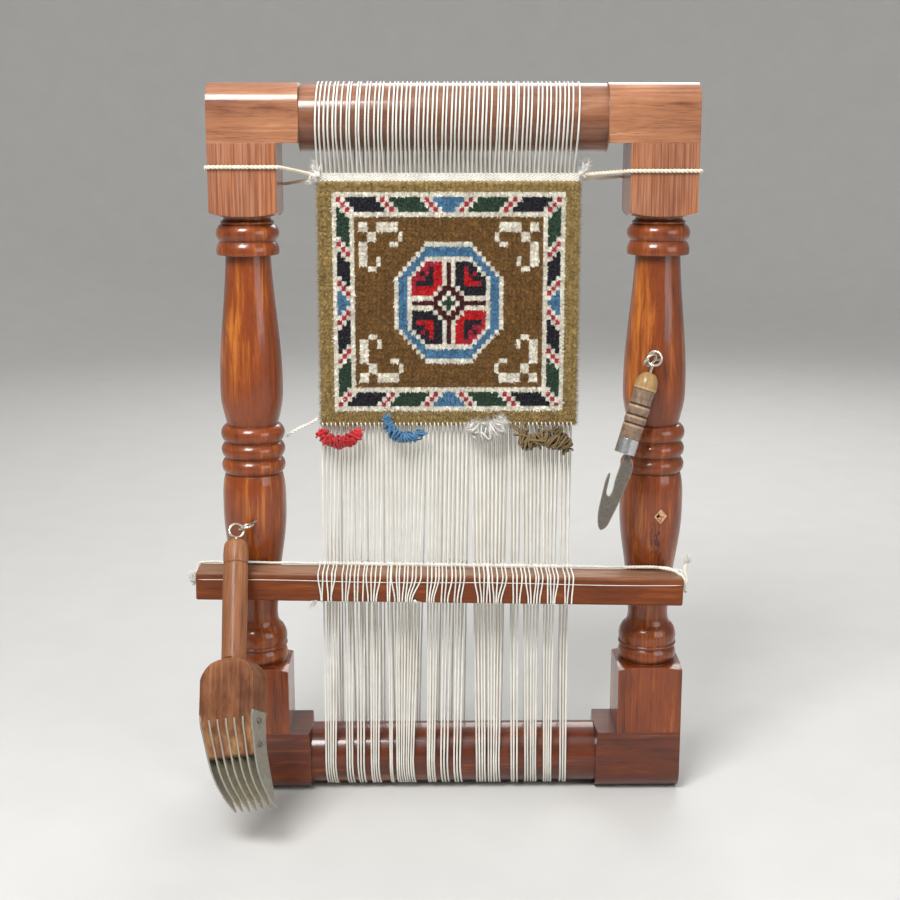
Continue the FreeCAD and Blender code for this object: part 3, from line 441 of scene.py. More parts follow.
def metal(name, tone, rough, grain=(0.3, 0.3, 3.0), tarnish=0.4, stain="3A2C20", tool=None,
          metallic=1.0, rim=0.3):
    """Bare metal with brushing along one direction, scratches, and tarnish in spots and corners."""
    look = Look(name)
    at = look.place(tool=tool)
    brushed = look.noise(at, tuple(4 * g for g in grain), 4, 0.7)
    scratch = look.span(look.noise(at, (1.2, 6.0, 0.35), 2, 0.6, 1.5), 0.60, 0.66)
    spots = look.span(look.noise(at, 0.35, 6, 0.68), 0.50, 0.70)
    grime = look.span(look.hidden(2), 0.3, 0.95, 1, 0)
    dull = look.math("MAXIMUM", look.times(spots, tarnish), look.times(grime, 0.35))
    base = srgb(tone)
    colour = look.mix(brushed, base * 0.72, np.minimum(base * 1.2, 1))
    colour = look.mix(look.times(scratch, 0.35), colour, np.minimum(base * 1.5, 1))
    colour = look.mix(dull, colour, stain)
    shine = look.mad(brushed, 0.24, rough - 0.12)
    shine = look.mad(dull, 0.35, shine)
    soft, edge = look.edges(rim, 0.01, 0.14)
    colour = look.mix(look.times(edge, 0.6), colour, np.minimum(base * 2.6 + 0.06, 0.8))
    look.set(Base_Color=colour, Roughness=shine, Metallic=look.mad(dull, -0.5 * metallic, metallic))
    look.bump(look.mad(scratch, -0.5, brushed), 0.03, 0.5, soft)
    return look.material


def textile(name, pitch=1.6, plies=2, depth=0.10, contrast=0.40, sheen=0.35):
    """Spun yarn: plies that spiral along the strand, with painted shade in the grooves between them,
    fine fibres, and the strand's own tint.
    """
    look = Look(name)
    uv = look.node("UVMap", uv_map="strand").outputs[0]
    u, v, _ = look.xyz(uv)
    phase = look.mad(u, float(plies), look.math("DIVIDE", v, pitch))
    ply = look.mad(look.math("SINE", look.times(phase, TURN)), 0.5, 0.5)
    at = look.place()
    hairs = look.noise(look.join(look.times(phase, 3.0), look.times(v, 0.9), 0.0), (2, 1, 1), 3, 0.6)
    cloud = look.noise(at, 0.12, 3)
    fuzz = look.noise(at, 5, 3, 0.6)
    # painted shade: darker in the grooves between the plies
    shade = look.mad(look.math("POWER", ply, 0.6), contrast, 1.0 - contrast)
    shade = look.times(shade, look.span(hairs, 0.2, 0.8, 0.86, 1.10))
    shade = look.times(shade, look.span(cloud, 0.3, 0.7, 0.88, 1.06))
    look.set(Base_Color=look.tinted(shade), Roughness=0.92, Sheen_Weight=sheen, Sheen_Roughness=0.45,
             Specular_IOR_Level=0.2)
    height = look.mad(fuzz, 0.35, look.mad(hairs, 0.25, ply))
    look.bump(height, depth, 0.8)
    return look.material


def pile_look(name):
    """Cut wool pile: the knots' own tints with uneven dyeing and dull fibres."""
    look = Look(name)
    at = look.place()
    fine = look.noise(at, 2.4, 3, 0.65)
    dye = look.noise(at, 0.16, 3)
    shade = look.times(look.span(fine, 0.25, 0.75, 0.78, 1.18), look.span(dye, 0.3, 0.7, 0.90, 1.08))
    look.set(Base_Color=look.tinted(shade), Roughness=0.97, Sheen_Weight=0.3, Sheen_Roughness=0.5,
             Specular_IOR_Level=0.15)
    look.bump(fine, 0.15, 0.6)
    return look.material


def about(axis, degrees):
    return np.array(Matrix.Rotation(math.radians(degrees), 3, axis))


# how each tool is turned and where it hangs
COMB_HANG = (about("Y", -1.7) @ about("X", -33.5) @ about("Z", -24.5),
             np.array([-132.9, -31.0, 178.1]))
KNIFE_HANG = (about("Y", 17.5) @ about("X", -8), np.array([120.8, -25.8, 283.0]))


def top_block_painted_glare(look, at, colour):
    """Posts: painted highlight: the square top blocks are drawn paler and less red than the turned part,
    as glare from the light above.
    """
    z = look.xyz(at)[2]
    cloud = look.noise(at, (0.06, 0.06, 0.03), 3)
    # painted highlight: the glare on the top blocks, in patches
    painted_glare = look.times(look.span(z, 365.0, 368.0), look.span(cloud, 0.3, 0.7, 0.45, 0.72))
    fine = look.span(look.noise(at, (1.1, 1.1, 0.02), 5, 0.6), 0.36, 0.64)
    return look.mix(painted_glare, colour, look.mix(fine, "7E4E38", "BC8A6C"))


def chipped(look, at, colour):
    """Right post: bare wood chipped off round the spare pilot hole, and dark cracks below it."""
    colour = top_block_painted_glare(look, at, colour)
    x, y, z = look.xyz(at)
    ragged = look.noise(at, 0.9, 3)
    away = look.mad(look.off(x, 128.4), 1.15, look.off(z, 182.9))
    away = look.mad(ragged, 3.0, away)
    front = look.math("LESS_THAN", y, -8.0)
    chip = look.times(look.span(away, 6.9, 6.1), front)
    rim = look.times(look.span(away, 8.0, 6.8), front)
    colour = look.mix(look.times(rim, 0.7), colour, "3A1A0E")
    colour = look.mix(chip, colour, look.mix(look.span(ragged, 0.38, 0.60), "7E4A2A", "D6A67C"))
    crack = 0.0
    for shift, seed in ((131.6, 0.0), (129.4, 40.0), (127.2, 90.0)):
        bent = look.noise(look.vector("ADD", at, (seed, seed, 0)), (0.3, 0.3, 0.12), 4)
        line = look.math("ABSOLUTE", look.mad(bent, 9.0, look.math("SUBTRACT", x, shift)))
        crack = look.math("MAXIMUM", crack, look.span(line, 0.75, 0.30))
    broken = look.span(look.noise(at, (0.6, 0.6, 0.22), 3), 0.36, 0.46)
    crack = look.times(look.times(crack, broken),
                      look.times(look.span(z, 155.0, 162.0), look.span(z, 181.0, 174.0)))
    return look.mix(look.times(look.times(crack, front), 0.85), colour, "1A0B06")


def round_part_painted_shade(look, at, colour):
    """Top beam: painted shade: the turned middle is drawn darker and browner than the square ends, most
    of all towards its lower side.
    """
    x, _, z = look.xyz(at)
    middle = look.math("LESS_THAN", look.math("ABSOLUTE", x), 91.0)
    # painted shade, deepest on the lower side of the turned middle
    low = look.span(z, 436.0, 416.0, 0.45, 1.0)
    return look.mix(look.times(middle, low), colour,
                    look.mix(1.0, colour, (0.42, 0.33, 0.30), "MULTIPLY"))


def bar_top_painted_highlight(look, at, colour):
    """Heddle bar: painted highlight: the upward faces and the top edge are drawn pale and grey, in
    patches.
    """
    _, _, up = look.xyz(look.node("NewGeometry").outputs["Normal"])
    x, y, z = look.xyz(at)
    level = look.math("SUBTRACT", z, look.mad(x, -0.01745, 141.85))
    highlight_patches = look.noise(at, (0.05, 0.5, 0.5), 4, 0.6)
    # painted highlight on the faces that look up and along the top edge
    top = look.math("MAXIMUM", look.span(up, 0.5, 0.9), look.span(level, 6.2, 8.4, 0.0, 0.75))
    top = look.times(top, look.span(highlight_patches, 0.3, 0.6, 0.45, 0.9))
    return look.mix(top, colour, look.mix(highlight_patches, "6A4630", "A07A5C"))


def handled(look, at, colour):
    """Comb: a paler handle, a head stained dark above, rubbed tan, and a dark line of painted shade
    where the blades leave it."""
    at = look.place(tool=COMB_HANG)
    z = look.xyz(at)[2]
    stain = look.noise(at, (0.12, 0.12, 0.07), 4, 0.6)
    head = look.span(z, -82.0, -88.0)
    dark = look.times(head, look.span(stain, 0.36, 0.60, 0.25, 0.9))
    colour = look.mix(dark, colour, look.mix(1.0, colour, (0.50, 0.42, 0.38), "MULTIPLY"))
    rubbed = look.times(look.span(z, -112.0, -128.0), look.span(stain, 0.35, 0.60, 0.75, 0.1))
    colour = look.mix(rubbed, colour, "B08458")
    # painted shade: a dark wavy line where the blades leave the head
    slot_painted_shade = look.span(look.mad(stain, 3.0, z), -134.6, -136.2)
    return look.mix(look.times(slot_painted_shade, 0.85), colour, "1C110B")


def banded(look, at, colour):
    """Knife handle: a yellow dome, a greyer worn grip, dark lines of painted shade in its grooves and
    pale lines of painted highlight beside them.
    """
    at = look.place(tool=KNIFE_HANG)
    _, _, z = look.xyz(at)
    grime = look.noise(at, (0.5, 0.5, 0.3), 4, 0.6)
    grip = look.times(look.span(z, -18.0, -21.0), look.span(grime, 0.2, 0.7, 0.75, 1.0))
    colour = look.mix(grip, colour, look.mix(look.span(grime, 0.3, 0.7), "5A463A", "8E7766"))
    # painted shade: dark lines in the grooves and at the dome's rim
    for level, half in ((-29.3, 0.55), (-35.8, 0.5), (-41.1, 0.5), (-19.9, 0.25), (-25.2, 0.15),
                        (-46.0, 0.15)):
        line = look.span(look.off(z, level), half * 1.6, half * 0.8)
        colour = look.mix(look.times(line, 0.85 if half > 0.3 else 0.45), colour, "22130B")
    # painted highlight: pale lines on the lips beside the grooves
    for level in (-30.6, -37.1, -42.4, -18.9):
        line = look.span(look.off(z, level), 0.9, 0.2)
        colour = look.mix(look.times(line, 0.5), colour, "C6A584")
    return colour


POST = wood("post_wood_look", ("32110A", "853C10", "C4762C"), rough=0.36, extra=top_block_painted_glare)
POST_CHIPPED = wood("right_post_wood_look", ("32110A", "803A10", "C4762C"), pith=(-150, 30), rough=0.36,
                    extra=chipped)
BEAM = wood("beam_wood_look", ("62331F", "A16C4C", "CE9C78"), along="X", pith=(30, 462), rough=0.38,
            extra=round_part_painted_shade)
BASE = wood("base_wood_look", ("260C06", "60280F", "96501F"), along="X", pith=(34, -18), rough=0.34)
DOWEL = wood("dowel_wood_look", ("8A6238", "B58B58", "D2AC78"), lacquer=0.0, rough=0.6)
BAR = wood("bar_wood_look", ("3E1606", "70330C", "A0581E"), along="X", pith=(-70, 120), lacquer=0.2,
           rough=0.48,
           extra=bar_top_painted_highlight)
COMB = wood("comb_wood_look", ("4A2818", "8C5A3A", "B8865E"), pith=(24, 12), lacquer=0.12, rough=0.52,
            wear=0.8,
            tool=COMB_HANG, extra=handled)
KNIFE = wood("knife_wood_look", ("604626", "99784A", "C0A06C"), pith=(18, 9), lacquer=0.3, rough=0.45,
             wear=0.5,
             tool=KNIFE_HANG, extra=banded)
WIRE = metal("plated_wire_look", "D8D2C4", 0.24, tarnish=0.30, stain="6A5A48")
BLADES = metal("comb_blade_steel_look", "ABA48F", 0.42, (0.4, 0.4, 0.05), 0.45, "5A5042", COMB_HANG,
               metallic=0.45)
CHEEKS = metal("comb_cheek_steel_look", "A8A49A", 0.34, (0.4, 0.4, 0.05), 0.40, "5A4C3E", COMB_HANG,
               metallic=0.8)
RIVETS = metal("rivet_steel_look", "8A857C", 0.40, (0.6, 0.6, 0.6), 0.5, "3E342A", COMB_HANG)
STEEL = metal("knife_steel_look", "8C857C", 0.38, (0.35, 0.35, 0.09), 0.85, "2C2621", KNIFE_HANG,
              rim=0.9)
FERRULE = metal("ferrule_aluminium_look", "CDCED0", 0.28, (0.05, 0.05, 1.4), 0.15, "77777A", KNIFE_HANG)

for node, look in {
        "left_post": POST, "right_post": POST_CHIPPED, "top_beam": BEAM, "bottom_beam": BASE,
        "corner_dowels": DOWEL, "heddle_bar": BAR, "comb_body": COMB, "knife_handle": KNIFE,
        "comb_hanger_eye": WIRE, "knife_hanger_eye": WIRE, "comb_eye": WIRE, "knife_eye": WIRE,
        "comb_blades": BLADES, "comb_cheek_plates": CHEEKS, "comb_rivets": RIVETS,
        "knife_blade": STEEL, "knife_ferrule": FERRULE}.items():
    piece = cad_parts[node]
    if not piece.data.materials:
        piece.data.materials.append(look)
    for held in piece.material_slots:
        held.material = look
    if look is WIRE:   # the wire's coarse facets are rounded off
        weld = piece.modifiers.new("weld", "WELD")
        weld.merge_threshold = 0.00002
        piece.modifiers.new("round", "SUBSURF").render_levels = 2

TWINE = textile("warp_twine_look", 1.7, 2, 0.14, 0.30)
STRING = textile("string_look", 1.8, 2, 0.10, 0.25)
CORD = textile("cord_look", 0.9, 3, 0.08, 0.25)
WEFT = textile("weft_look", 1.1, 2, 0.10, 0.18)
WOOL = textile("wool_yarn_look", 1.2, 2, 0.12, 0.35, 0.5)
PILE = pile_look("wool_pile_look")

# ---- warp

COTTON = srgb("F5F1E6")
PITCH, THREADS, WARP_MIDDLE = 2.66, 59, -4.0
WEAVE_LOW, WEAVE_HIGH = 238.0, 392.4
BEAM_LOW, BEAM_HIGH = 20.25, 424.75
THREAD = 0.55   # radius of the twine as it is seen, fuzz and all
SHED = 0.7   # a thread's distance from the warp's middle plane where it enters the weave
WRAPS = {BEAM_LOW: 19.3 + THREAD, BEAM_HIGH: 20.0 + THREAD}   # a thread's middle round each beam
# bunches of front threads where they meet the bottom beam: left edge, right edge, threads
BUNCHES = [(-82, -75, 5), (-68.5, -64.5, 3), (-61.5, -57, 3), (-53, -47.5, 4), (-41, -38.8, 2),
           (-36.5, -25.5, 8), (-17, -12, 4), (-8.5, -3.5, 3), (0, 4.5, 3), (14.5, 20.5, 4),
           (22, 29.5, 5), (36.5, 41, 3), (45.5, 53, 5), (57.5, 62.5, 4), (68, 72, 3)]

even = WARP_MIDDLE + (np.arange(THREADS) - (THREADS - 1) / 2) * PITCH
bunched = np.concatenate([np.linspace(a + 0.45, b - 0.45, n) for a, b, n in BUNCHES])
front_low = bunched + rng.normal(0, 0.10, THREADS)
back_low = 0.8 * bunched + 0.2 * even + 2.0 + rng.normal(0, 0.35, THREADS)
top_x = even + rng.normal(0, 0.42, THREADS)


def leg(side, beam_z, weave_z, x_weave, x_beam, x_end):
    """One thread (steps, 3) from inside the weave to its beam and half way round it; side -1 is
    the front."""
    up = 1 if beam_z > weave_z else -1
    reach = WRAPS[beam_z]
    rise = abs(beam_z - weave_z)
    lean = math.acos(reach / math.hypot(SHED, rise)) + math.atan2(SHED, rise)
    start = math.pi / 2 - lean   # where the thread touches the beam, from level
    t = np.linspace(0, 1, 92 if up < 0 else 16)
    y = SHED * side + t * side * (reach * math.cos(start) - SHED)
    z = weave_z + t * (beam_z - up * reach * math.sin(start) - weave_z)
    x = x_weave + (x_beam - x_weave) * t
    a = np.linspace(-start, math.pi / 2, 20)[1:]
    s = (a + start) / (math.pi / 2 + start)
    wrap = dots(x_beam + (x_end - x_beam) * smooth(s), side * reach * np.cos(a),
                beam_z + up * reach * np.sin(a))
    inner = np.array([[x_weave, 0.5 * side, weave_z - up * 4.0]])
    return np.concatenate([inner, dots(x, y, z), wrap])


def warp(name, side, shift, low_x, node):
    soup = Soup()
    for beam_z, weave_z, on_beam in ((BEAM_LOW, WEAVE_LOW, low_x), (BEAM_HIGH, WEAVE_HIGH, top_x)):
        middle = (front_low + back_low) / 2 if beam_z == BEAM_LOW else top_x + PITCH / 4
        at_beam = on_beam + (0 if beam_z == BEAM_LOW else shift)
        P = np.stack([leg(side, beam_z, weave_z, *ends) for ends in zip(even + shift, at_beam, middle)])
        wave = rng.normal(0, 1, (THREADS, P.shape[1]))
        wave = np.stack([np.convolve(w, np.hanning(11) / 5, "same") for w in wave])
        radius = THREAD * (1 + 0.09 * wave)
        P[:, 2:-16, 0] += 0.045 * wave[:, 2:-16]
        # painted shade: the back threads are drawn darker than the front ones
        tint = COTTON * rng.uniform(0.90, 1.06, (THREADS, 1)) * (1.0 if side < 0 else 0.93)
        tubes(soup, P, radius, tint, 7)
        lint(soup, P, 1300 if beam_z == BEAM_LOW else 900, 1.4, COTTON)
    if side < 0:   # twine that shows between the first knots
        x = even + rng.normal(0, 0.15, THREADS)
        teeth = dots(x[:, None] + 0.2 * np.arange(4), np.array([-5.6, -6.2, -5.2, -1.6]),
                     np.array([240.4, 239.0, 237.2, 233.4]))
        teeth = np.stack([curve(t, 0.6)[:14] for t in teeth])
        tubes(soup, teeth, 0.42, COTTON, 6)
    return soup.mesh(name, "frame", "warp_cotton", TWINE, node)


warp("warp_front_twine", -1, -PITCH / 4, front_low, "warp_front_threads")
warp("warp_back_twine", 1, PITCH / 4, back_low, "warp_back_threads")

# ---- carpet

FACE, BACK = -4.3, 0.6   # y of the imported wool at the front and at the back
COLUMNS, ROWS = 59, 50
CARPET_LEFT, CARPET_RIGHT, CARPET_BOTTOM, CARPET_TOP = -81.3, 75.7, 238.3, 387.0
KNOT_X, KNOT_Z = (CARPET_RIGHT - CARPET_LEFT) / COLUMNS, (CARPET_TOP - CARPET_BOTTOM) / ROWS
DYES = {"olive": "AA9059", "brown": "85602F", "cream": "FFF8E8", "blue": "5A8CB0", "green": "34503C",
        "navy": "24222C", "red": "D4161F", "crimson": "C02A40", "rose": "C43450", "maroon": "541418"}
DYE_NAMES = list(DYES)
DYE = np.array([srgb(DYES[n]) for n in DYE_NAMES])


def within(value, low, high):
    return (low <= value) & (value <= high)


def chart(i, j):
    """The dye number of knot (i, j) counted from the carpet's middle; the pattern repeats in all
    four quarters."""
    a, b = np.abs(i), np.abs(j)
    s, m = a + b, np.maximum(a, b)
    octagon = (m <= 12) & (s <= 17)
    petal = within(a, 2, 8) & within(b, 2, 8) & within(s, 6, 13)
    sprig = ((a == 4) & within(b, 4, 7)) | ((b == 4) & within(a, 5, 7)) | ((a == b) & within(a, 5, 6))
    warm = (i * j < 0) ^ sprig
    u, v = 20 - a, 16 - b

    def hook(p, q):
        return ((within(p, 4, 8) & within(q, 0, 1)) | ((p == 9) & within(q, 2, 3))
                | (within(p, 7, 8) & (q == 4)))
    corner = ((within(u, 0, 1) & within(v, 0, 1)) | (within(u, 2, 3) & within(v, 2, 3))
              | hook(u, v) | hook(v, u))
    across = a - b < 4
    # steps along the border, sheared by its depth
    along = np.where(across, a + (21 - b), b + (25 - a))
    marks = np.where(across[..., None], [25, 15, 5], [21, 12, 4])
    away = np.abs(along[..., None] - marks).min(-1)
    first = np.where(across, "navy", "green")
    second = np.where(across, "green", "navy")
    fill = np.where(along > marks[..., 1], first, np.where(along > marks[..., 2], second, "blue"))
    band = np.where(away == 0, "rose", np.where(away == 1, "cream", fill))
    names = np.select([
        s <= 1, s == 2, s <= 4,
        ((a == 0) | (b == 0)) & (m <= 8),
        ((a == 1) | (b == 1)) & within(m, 4, 8),
        (s == 5) & (m == 3),
        octagon & ((m == 12) | (s == 17)), octagon & ((m >= 10) | (s >= 15)),
        octagon & ((m == 9) | (s == 14)),
        petal & warm & (s >= 11), petal & warm, octagon,
        (a <= 21) & (b <= 17) & corner, (a <= 21) & (b <= 17), (a <= 22) & (b <= 18),
        (a <= 25) & (b <= 21), (a <= 26) & (b <= 22)],
        ["green", "cream", "maroon", "maroon", "cream", "cream", "cream", "blue", "cream",
         "crimson", "red", "navy", "cream", "brown", "cream", band, "cream"], "olive")
    return np.vectorize(DYE_NAMES.index)(names)


def carpet():
    soup = Soup()
    c, r = np.meshgrid(np.arange(COLUMNS), np.arange(ROWS))
    c, r = c.ravel(), r.ravel()
    dye = DYE[chart(c - COLUMNS // 2, r - ROWS // 2)] * rng.uniform(0.86, 1.12, (len(c), 1))
    x0 = CARPET_LEFT + (c + 0.5) * KNOT_X + rng.normal(0, 0.12, len(c))
    z0 = CARPET_BOTTOM + (r + 0.5) * KNOT_Z + rng.normal(0, 0.10, len(c))
    # a low mound of packed wool under each tuft, painted darker as shade under the tufts
    gx, gz = np.meshgrid(np.linspace(-0.5, 0.5, 4), np.linspace(-0.5, 0.5, 4))
    dome = np.cos(math.pi * gx) * np.cos(math.pi * gz)
    cx = (CARPET_LEFT + (c + 0.5) * KNOT_X)[:, None, None]
    cz = (CARPET_BOTTOM + (r + 0.5) * KNOT_Z)[:, None, None]
    mounds = dots(cx + gx * KNOT_X * 1.04, FACE - dome, cz + gz * KNOT_Z * 1.04)
    sheet(soup, mounds, np.repeat(dye * 0.8, gx.size, axis=0))
    # the back: two wool bumps a knot, in rows, with the cotton showing between the rows
    bumps = np.abs(np.sin(TURN * np.linspace(-0.5, 0.5, 7)))
    hump = np.outer(np.cos(math.pi * np.linspace(-0.5, 0.5, 5)), bumps)
    bx, bz = np.meshgrid(np.linspace(-0.5, 0.5, 7), np.linspace(-0.5, 0.5, 5))
    tone = np.repeat(dye[:, None] * 0.8, bz.size, axis=1)
    tone[:, np.abs(bz.ravel()) > 0.45] = COTTON * 0.7
    sheet(soup, dots(cx + bx * KNOT_X, BACK + 0.9 * hump, cz + bz * KNOT_Z), tone.reshape(-1, 3), True)
    # the edges between front and back
    depth, swell = np.array([FACE, -1.6, BACK]), np.array([0, 0.25, 0])
    width = np.linspace(CARPET_LEFT, CARPET_RIGHT, COLUMNS + 1)[:, None]
    height = np.linspace(CARPET_BOTTOM, CARPET_TOP, COLUMNS + 1)[:, None]
    for rim in (dots(width, depth, CARPET_BOTTOM - swell), dots(width, depth, CARPET_TOP + swell),
                dots(CARPET_LEFT - swell, depth, height), dots(CARPET_RIGHT + swell, depth, height)):
        sheet(soup, rim[None], DYE[0] * 0.6, True)
    # cut tufts
    per = 13 if FULL else 5
    n = len(c) * per
    knots = np.repeat(np.arange(len(c)), per)
    off = rng.uniform(-0.5, 0.5, (n, 2)) * [KNOT_X * 0.98, KNOT_Z * 0.98]
    root = dots(x0[knots] + off[:, 0] * 0.8, -3.9, z0[knots] + off[:, 1] * 0.8)
    tip = root.copy()
    # the undyed wool is thicker and spreads
    puff = np.where(dye[knots].min(axis=1) > 0.5, 1.25, 1.0)
    tip[:, 0] += off[:, 0] * 0.35 * puff + rng.normal(0, 0.34, n)
    tip[:, 2] += off[:, 1] * 0.35 * puff + rng.normal(-0.30, 0.36, n)
    tip[:, 1] = -6.2 - 0.35 * puff + rng.normal(0, 0.24, n)
    bend = rng.normal(0, 0.13, (n, 3))
    uneven = rng.uniform(0.60, 1.42, (n, 1))
    uneven = np.where(puff[:, None] > 1.2, 0.90 + 0.22 * (uneven - 0.6), uneven)
    tint = np.clip(dye[knots] * uneven + rng.uniform(0, 0.014, (n, 1)), 0, 1)
    fibres(soup, root, tip, bend, 0.34 * puff, tint, 0.80)
    # loose wool along both sides and both ends
    n = 3200 if FULL else 400
    side = rng.integers(0, 2, n) * 2 - 1
    z = rng.uniform(CARPET_BOTTOM, CARPET_TOP, n)
    x = np.where(side > 0, CARPET_RIGHT, CARPET_LEFT)
    root = dots(x, rng.uniform(-6.2, 0.2, n), z)
    tip = root + dots(side * rng.uniform(0.4, 2.9, n), rng.normal(0, 0.8, n), rng.normal(0, 1.0, n))
    olive = DYE[0] * rng.uniform(0.7, 1.35, (n, 1))
    fibres(soup, root, tip, rng.normal(0, 0.25, (n, 3)), 0.10, olive)
    n = 700 if FULL else 200
    x = rng.uniform(CARPET_LEFT, CARPET_RIGHT, n)
    end = rng.random(n) < 0.7
    root = dots(x, rng.uniform(-6.4, -1.0, n), np.where(end, CARPET_BOTTOM, CARPET_TOP))
    tip = root + dots(rng.normal(0, 0.5, n), rng.normal(-0.3, 0.3, n),
                      np.where(end, -1, 1) * rng.uniform(0.3, 1.5, n))
    fibres(soup, root, tip, rng.normal(0, 0.15, (n, 3)), 0.16, DYE[0] * rng.uniform(0.7, 1.3, (n, 1)))
    return soup.mesh("carpet_pile", "frame", "carpet_wool", PILE, "carpet")


carpet()


def header():
    """Rows of plain weave above the pile, with a frayed knot at each corner."""
    soup = Soup()
    # painted light: the cotton is drawn brighter than white
    white = srgb("FFFDF6") * 1.06
    x = np.arange(CARPET_LEFT - 0.6, CARPET_RIGHT + 0.6, PITCH / 8)
    for row, z in enumerate(np.arange(387.5, 392.0, 0.84)):
        sway = 0.85 * np.cos(TURN / 2 * (x - WARP_MIDDLE) / (PITCH / 2) + math.pi * row)
        wander = np.convolve(rng.normal(0, 1, len(x) + 40), np.hanning(41) / 20, "valid")
        path = dots(x, -0.15 + 0.75 * sway, z + 0.12 * wander[:len(x)])
        tubes(soup, path, 0.52, white * rng.uniform(0.94, 1.04), 7)
        lint(soup, path[None], 110, 1.1, white)
    ends = [((-82, -2.2, 391.5), (-84.5, -3.2, 395.0), (-84.0, -3.6, 398.0)),
            ((-82, -2.2, 391.5), (-80.0, -3.4, 395.5), (-79.0, -3.2, 398.5)),
            ((-82, -2.2, 391.5), (-85.5, -3.4, 391.0), (-86.5, -3.4, 388.0)),
            ((77, -1.8, 391.5), (79.5, -3.0, 394.5), (81.0, -3.2, 398.5)),
            ((77, -1.8, 391.5), (78.0, -3.2, 396.0), (77.5, -3.4, 399.0))]
    for end in ends:   # cut ends of the weft at the band's corners
        path = curve(end, 0.4)
        twisted(soup, path, 0.62, white, 2, 3.0)
        fray(soup, path[-1], path[-1] - path[-3], 40, 4.0, 0.5, white, 0.12)
    knot(soup, (-82.0, -2.2, 391.5), 1.9, 0.55, white, 7)
    fray(soup, (-81.5, -2.4, 393.0), (-0.15, -0.3, 0.9), 90, 7.5, 0.45, white, 0.13)
    fray(soup, (-83.0, -2.2, 390.0), (-0.5, -0.2, -0.7), 50, 6.0, 0.5, white, 0.11)
    knot(soup, (77.0, -1.8, 392.0), 1.6, 0.5, white, 5)
    fray(soup, (77.5, -2.0, 393.0), (0.45, -0.2, 0.9), 80, 8.0, 0.35, white, 0.13)
    n = 700 if FULL else 150   # fluff caught in the threads above the band
    root = dots(rng.uniform(-81, 76, n), rng.uniform(-2.5, 2, n), rng.uniform(391.5, 399, n))
    tip = root + dots(rng.normal(0, 2.2, n), rng.normal(0, 0.8, n), rng.normal(0, 1.5, n))
    fibres(soup, root, tip, rng.normal(0, 0.5, (n, 3)), 0.05, white, 0.95)
    return soup.mesh("header_weave", "frame", "header_cotton", WEFT, "header_band")


header()

# ---- lacing cords and loose ends

LACING = srgb("F2E8D2")
YARN_BACK = -7.4   # the yarn ends stay in front of the pile


def lace(name, points, node, knots):
    soup = Soup()
    path = eased(resample(np.array(points, float), 0.4), 9)
    twisted(soup, path, 1.2, LACING, 2, 5.0)
    lint(soup, path[None], 260, 1.6, LACING)
    for at in knots:
        knot(soup, at, 1.3, 0.5, LACING, 4)
        fray(soup, at, (0, -0.6, -0.5), 18, 5, 0.8, LACING, 0.07)
    return soup.mesh(name, "frame", "lacing_cotton", CORD, node)


lace("left_lacing_twine", [(-84.2, -1, 391.2), (-103.2, -21.3, 396.2), (-145.95, -21.2, 396.2),
                           (-145.95, 21.2, 386.0), (-103.2, 21.2, 384.8), (-84.2, 1.4, 388.5)],
     "left_lacing_cord", [(-85.0, -1.8, 391.0)])
lace("right_lacing_twine", [(78.6, -1, 391.2), (103.2, -21.3, 393.9), (145.95, -21.2, 393.9),
                            (145.95, 21.2, 389), (103.2, 21.2, 389), (78.6, 1.4, 388)],
     "right_lacing_cord", [(79.4, -1.8, 390.6)])

tail = Soup()
tail_path = curve([(-83.6, -4.5, 242.5), (-89, -5.2, 239.4), (-95, -5.6, 237), (-101, -5.4, 233.4)],
                  0.4)
twisted(tail, tail_path, 1.05, COTTON, 2, 4.6)
fray(tail, tail_path[-1], (-1, 0, -0.7), 40, 3.4, 0.30, COTTON, 0.14)
lint(tail, tail_path[None], 60, 1.4, COTTON)
tail.mesh("selvedge_tail_twine", "frame", "lacing_cotton", CORD, "selvedge_cord_tail")


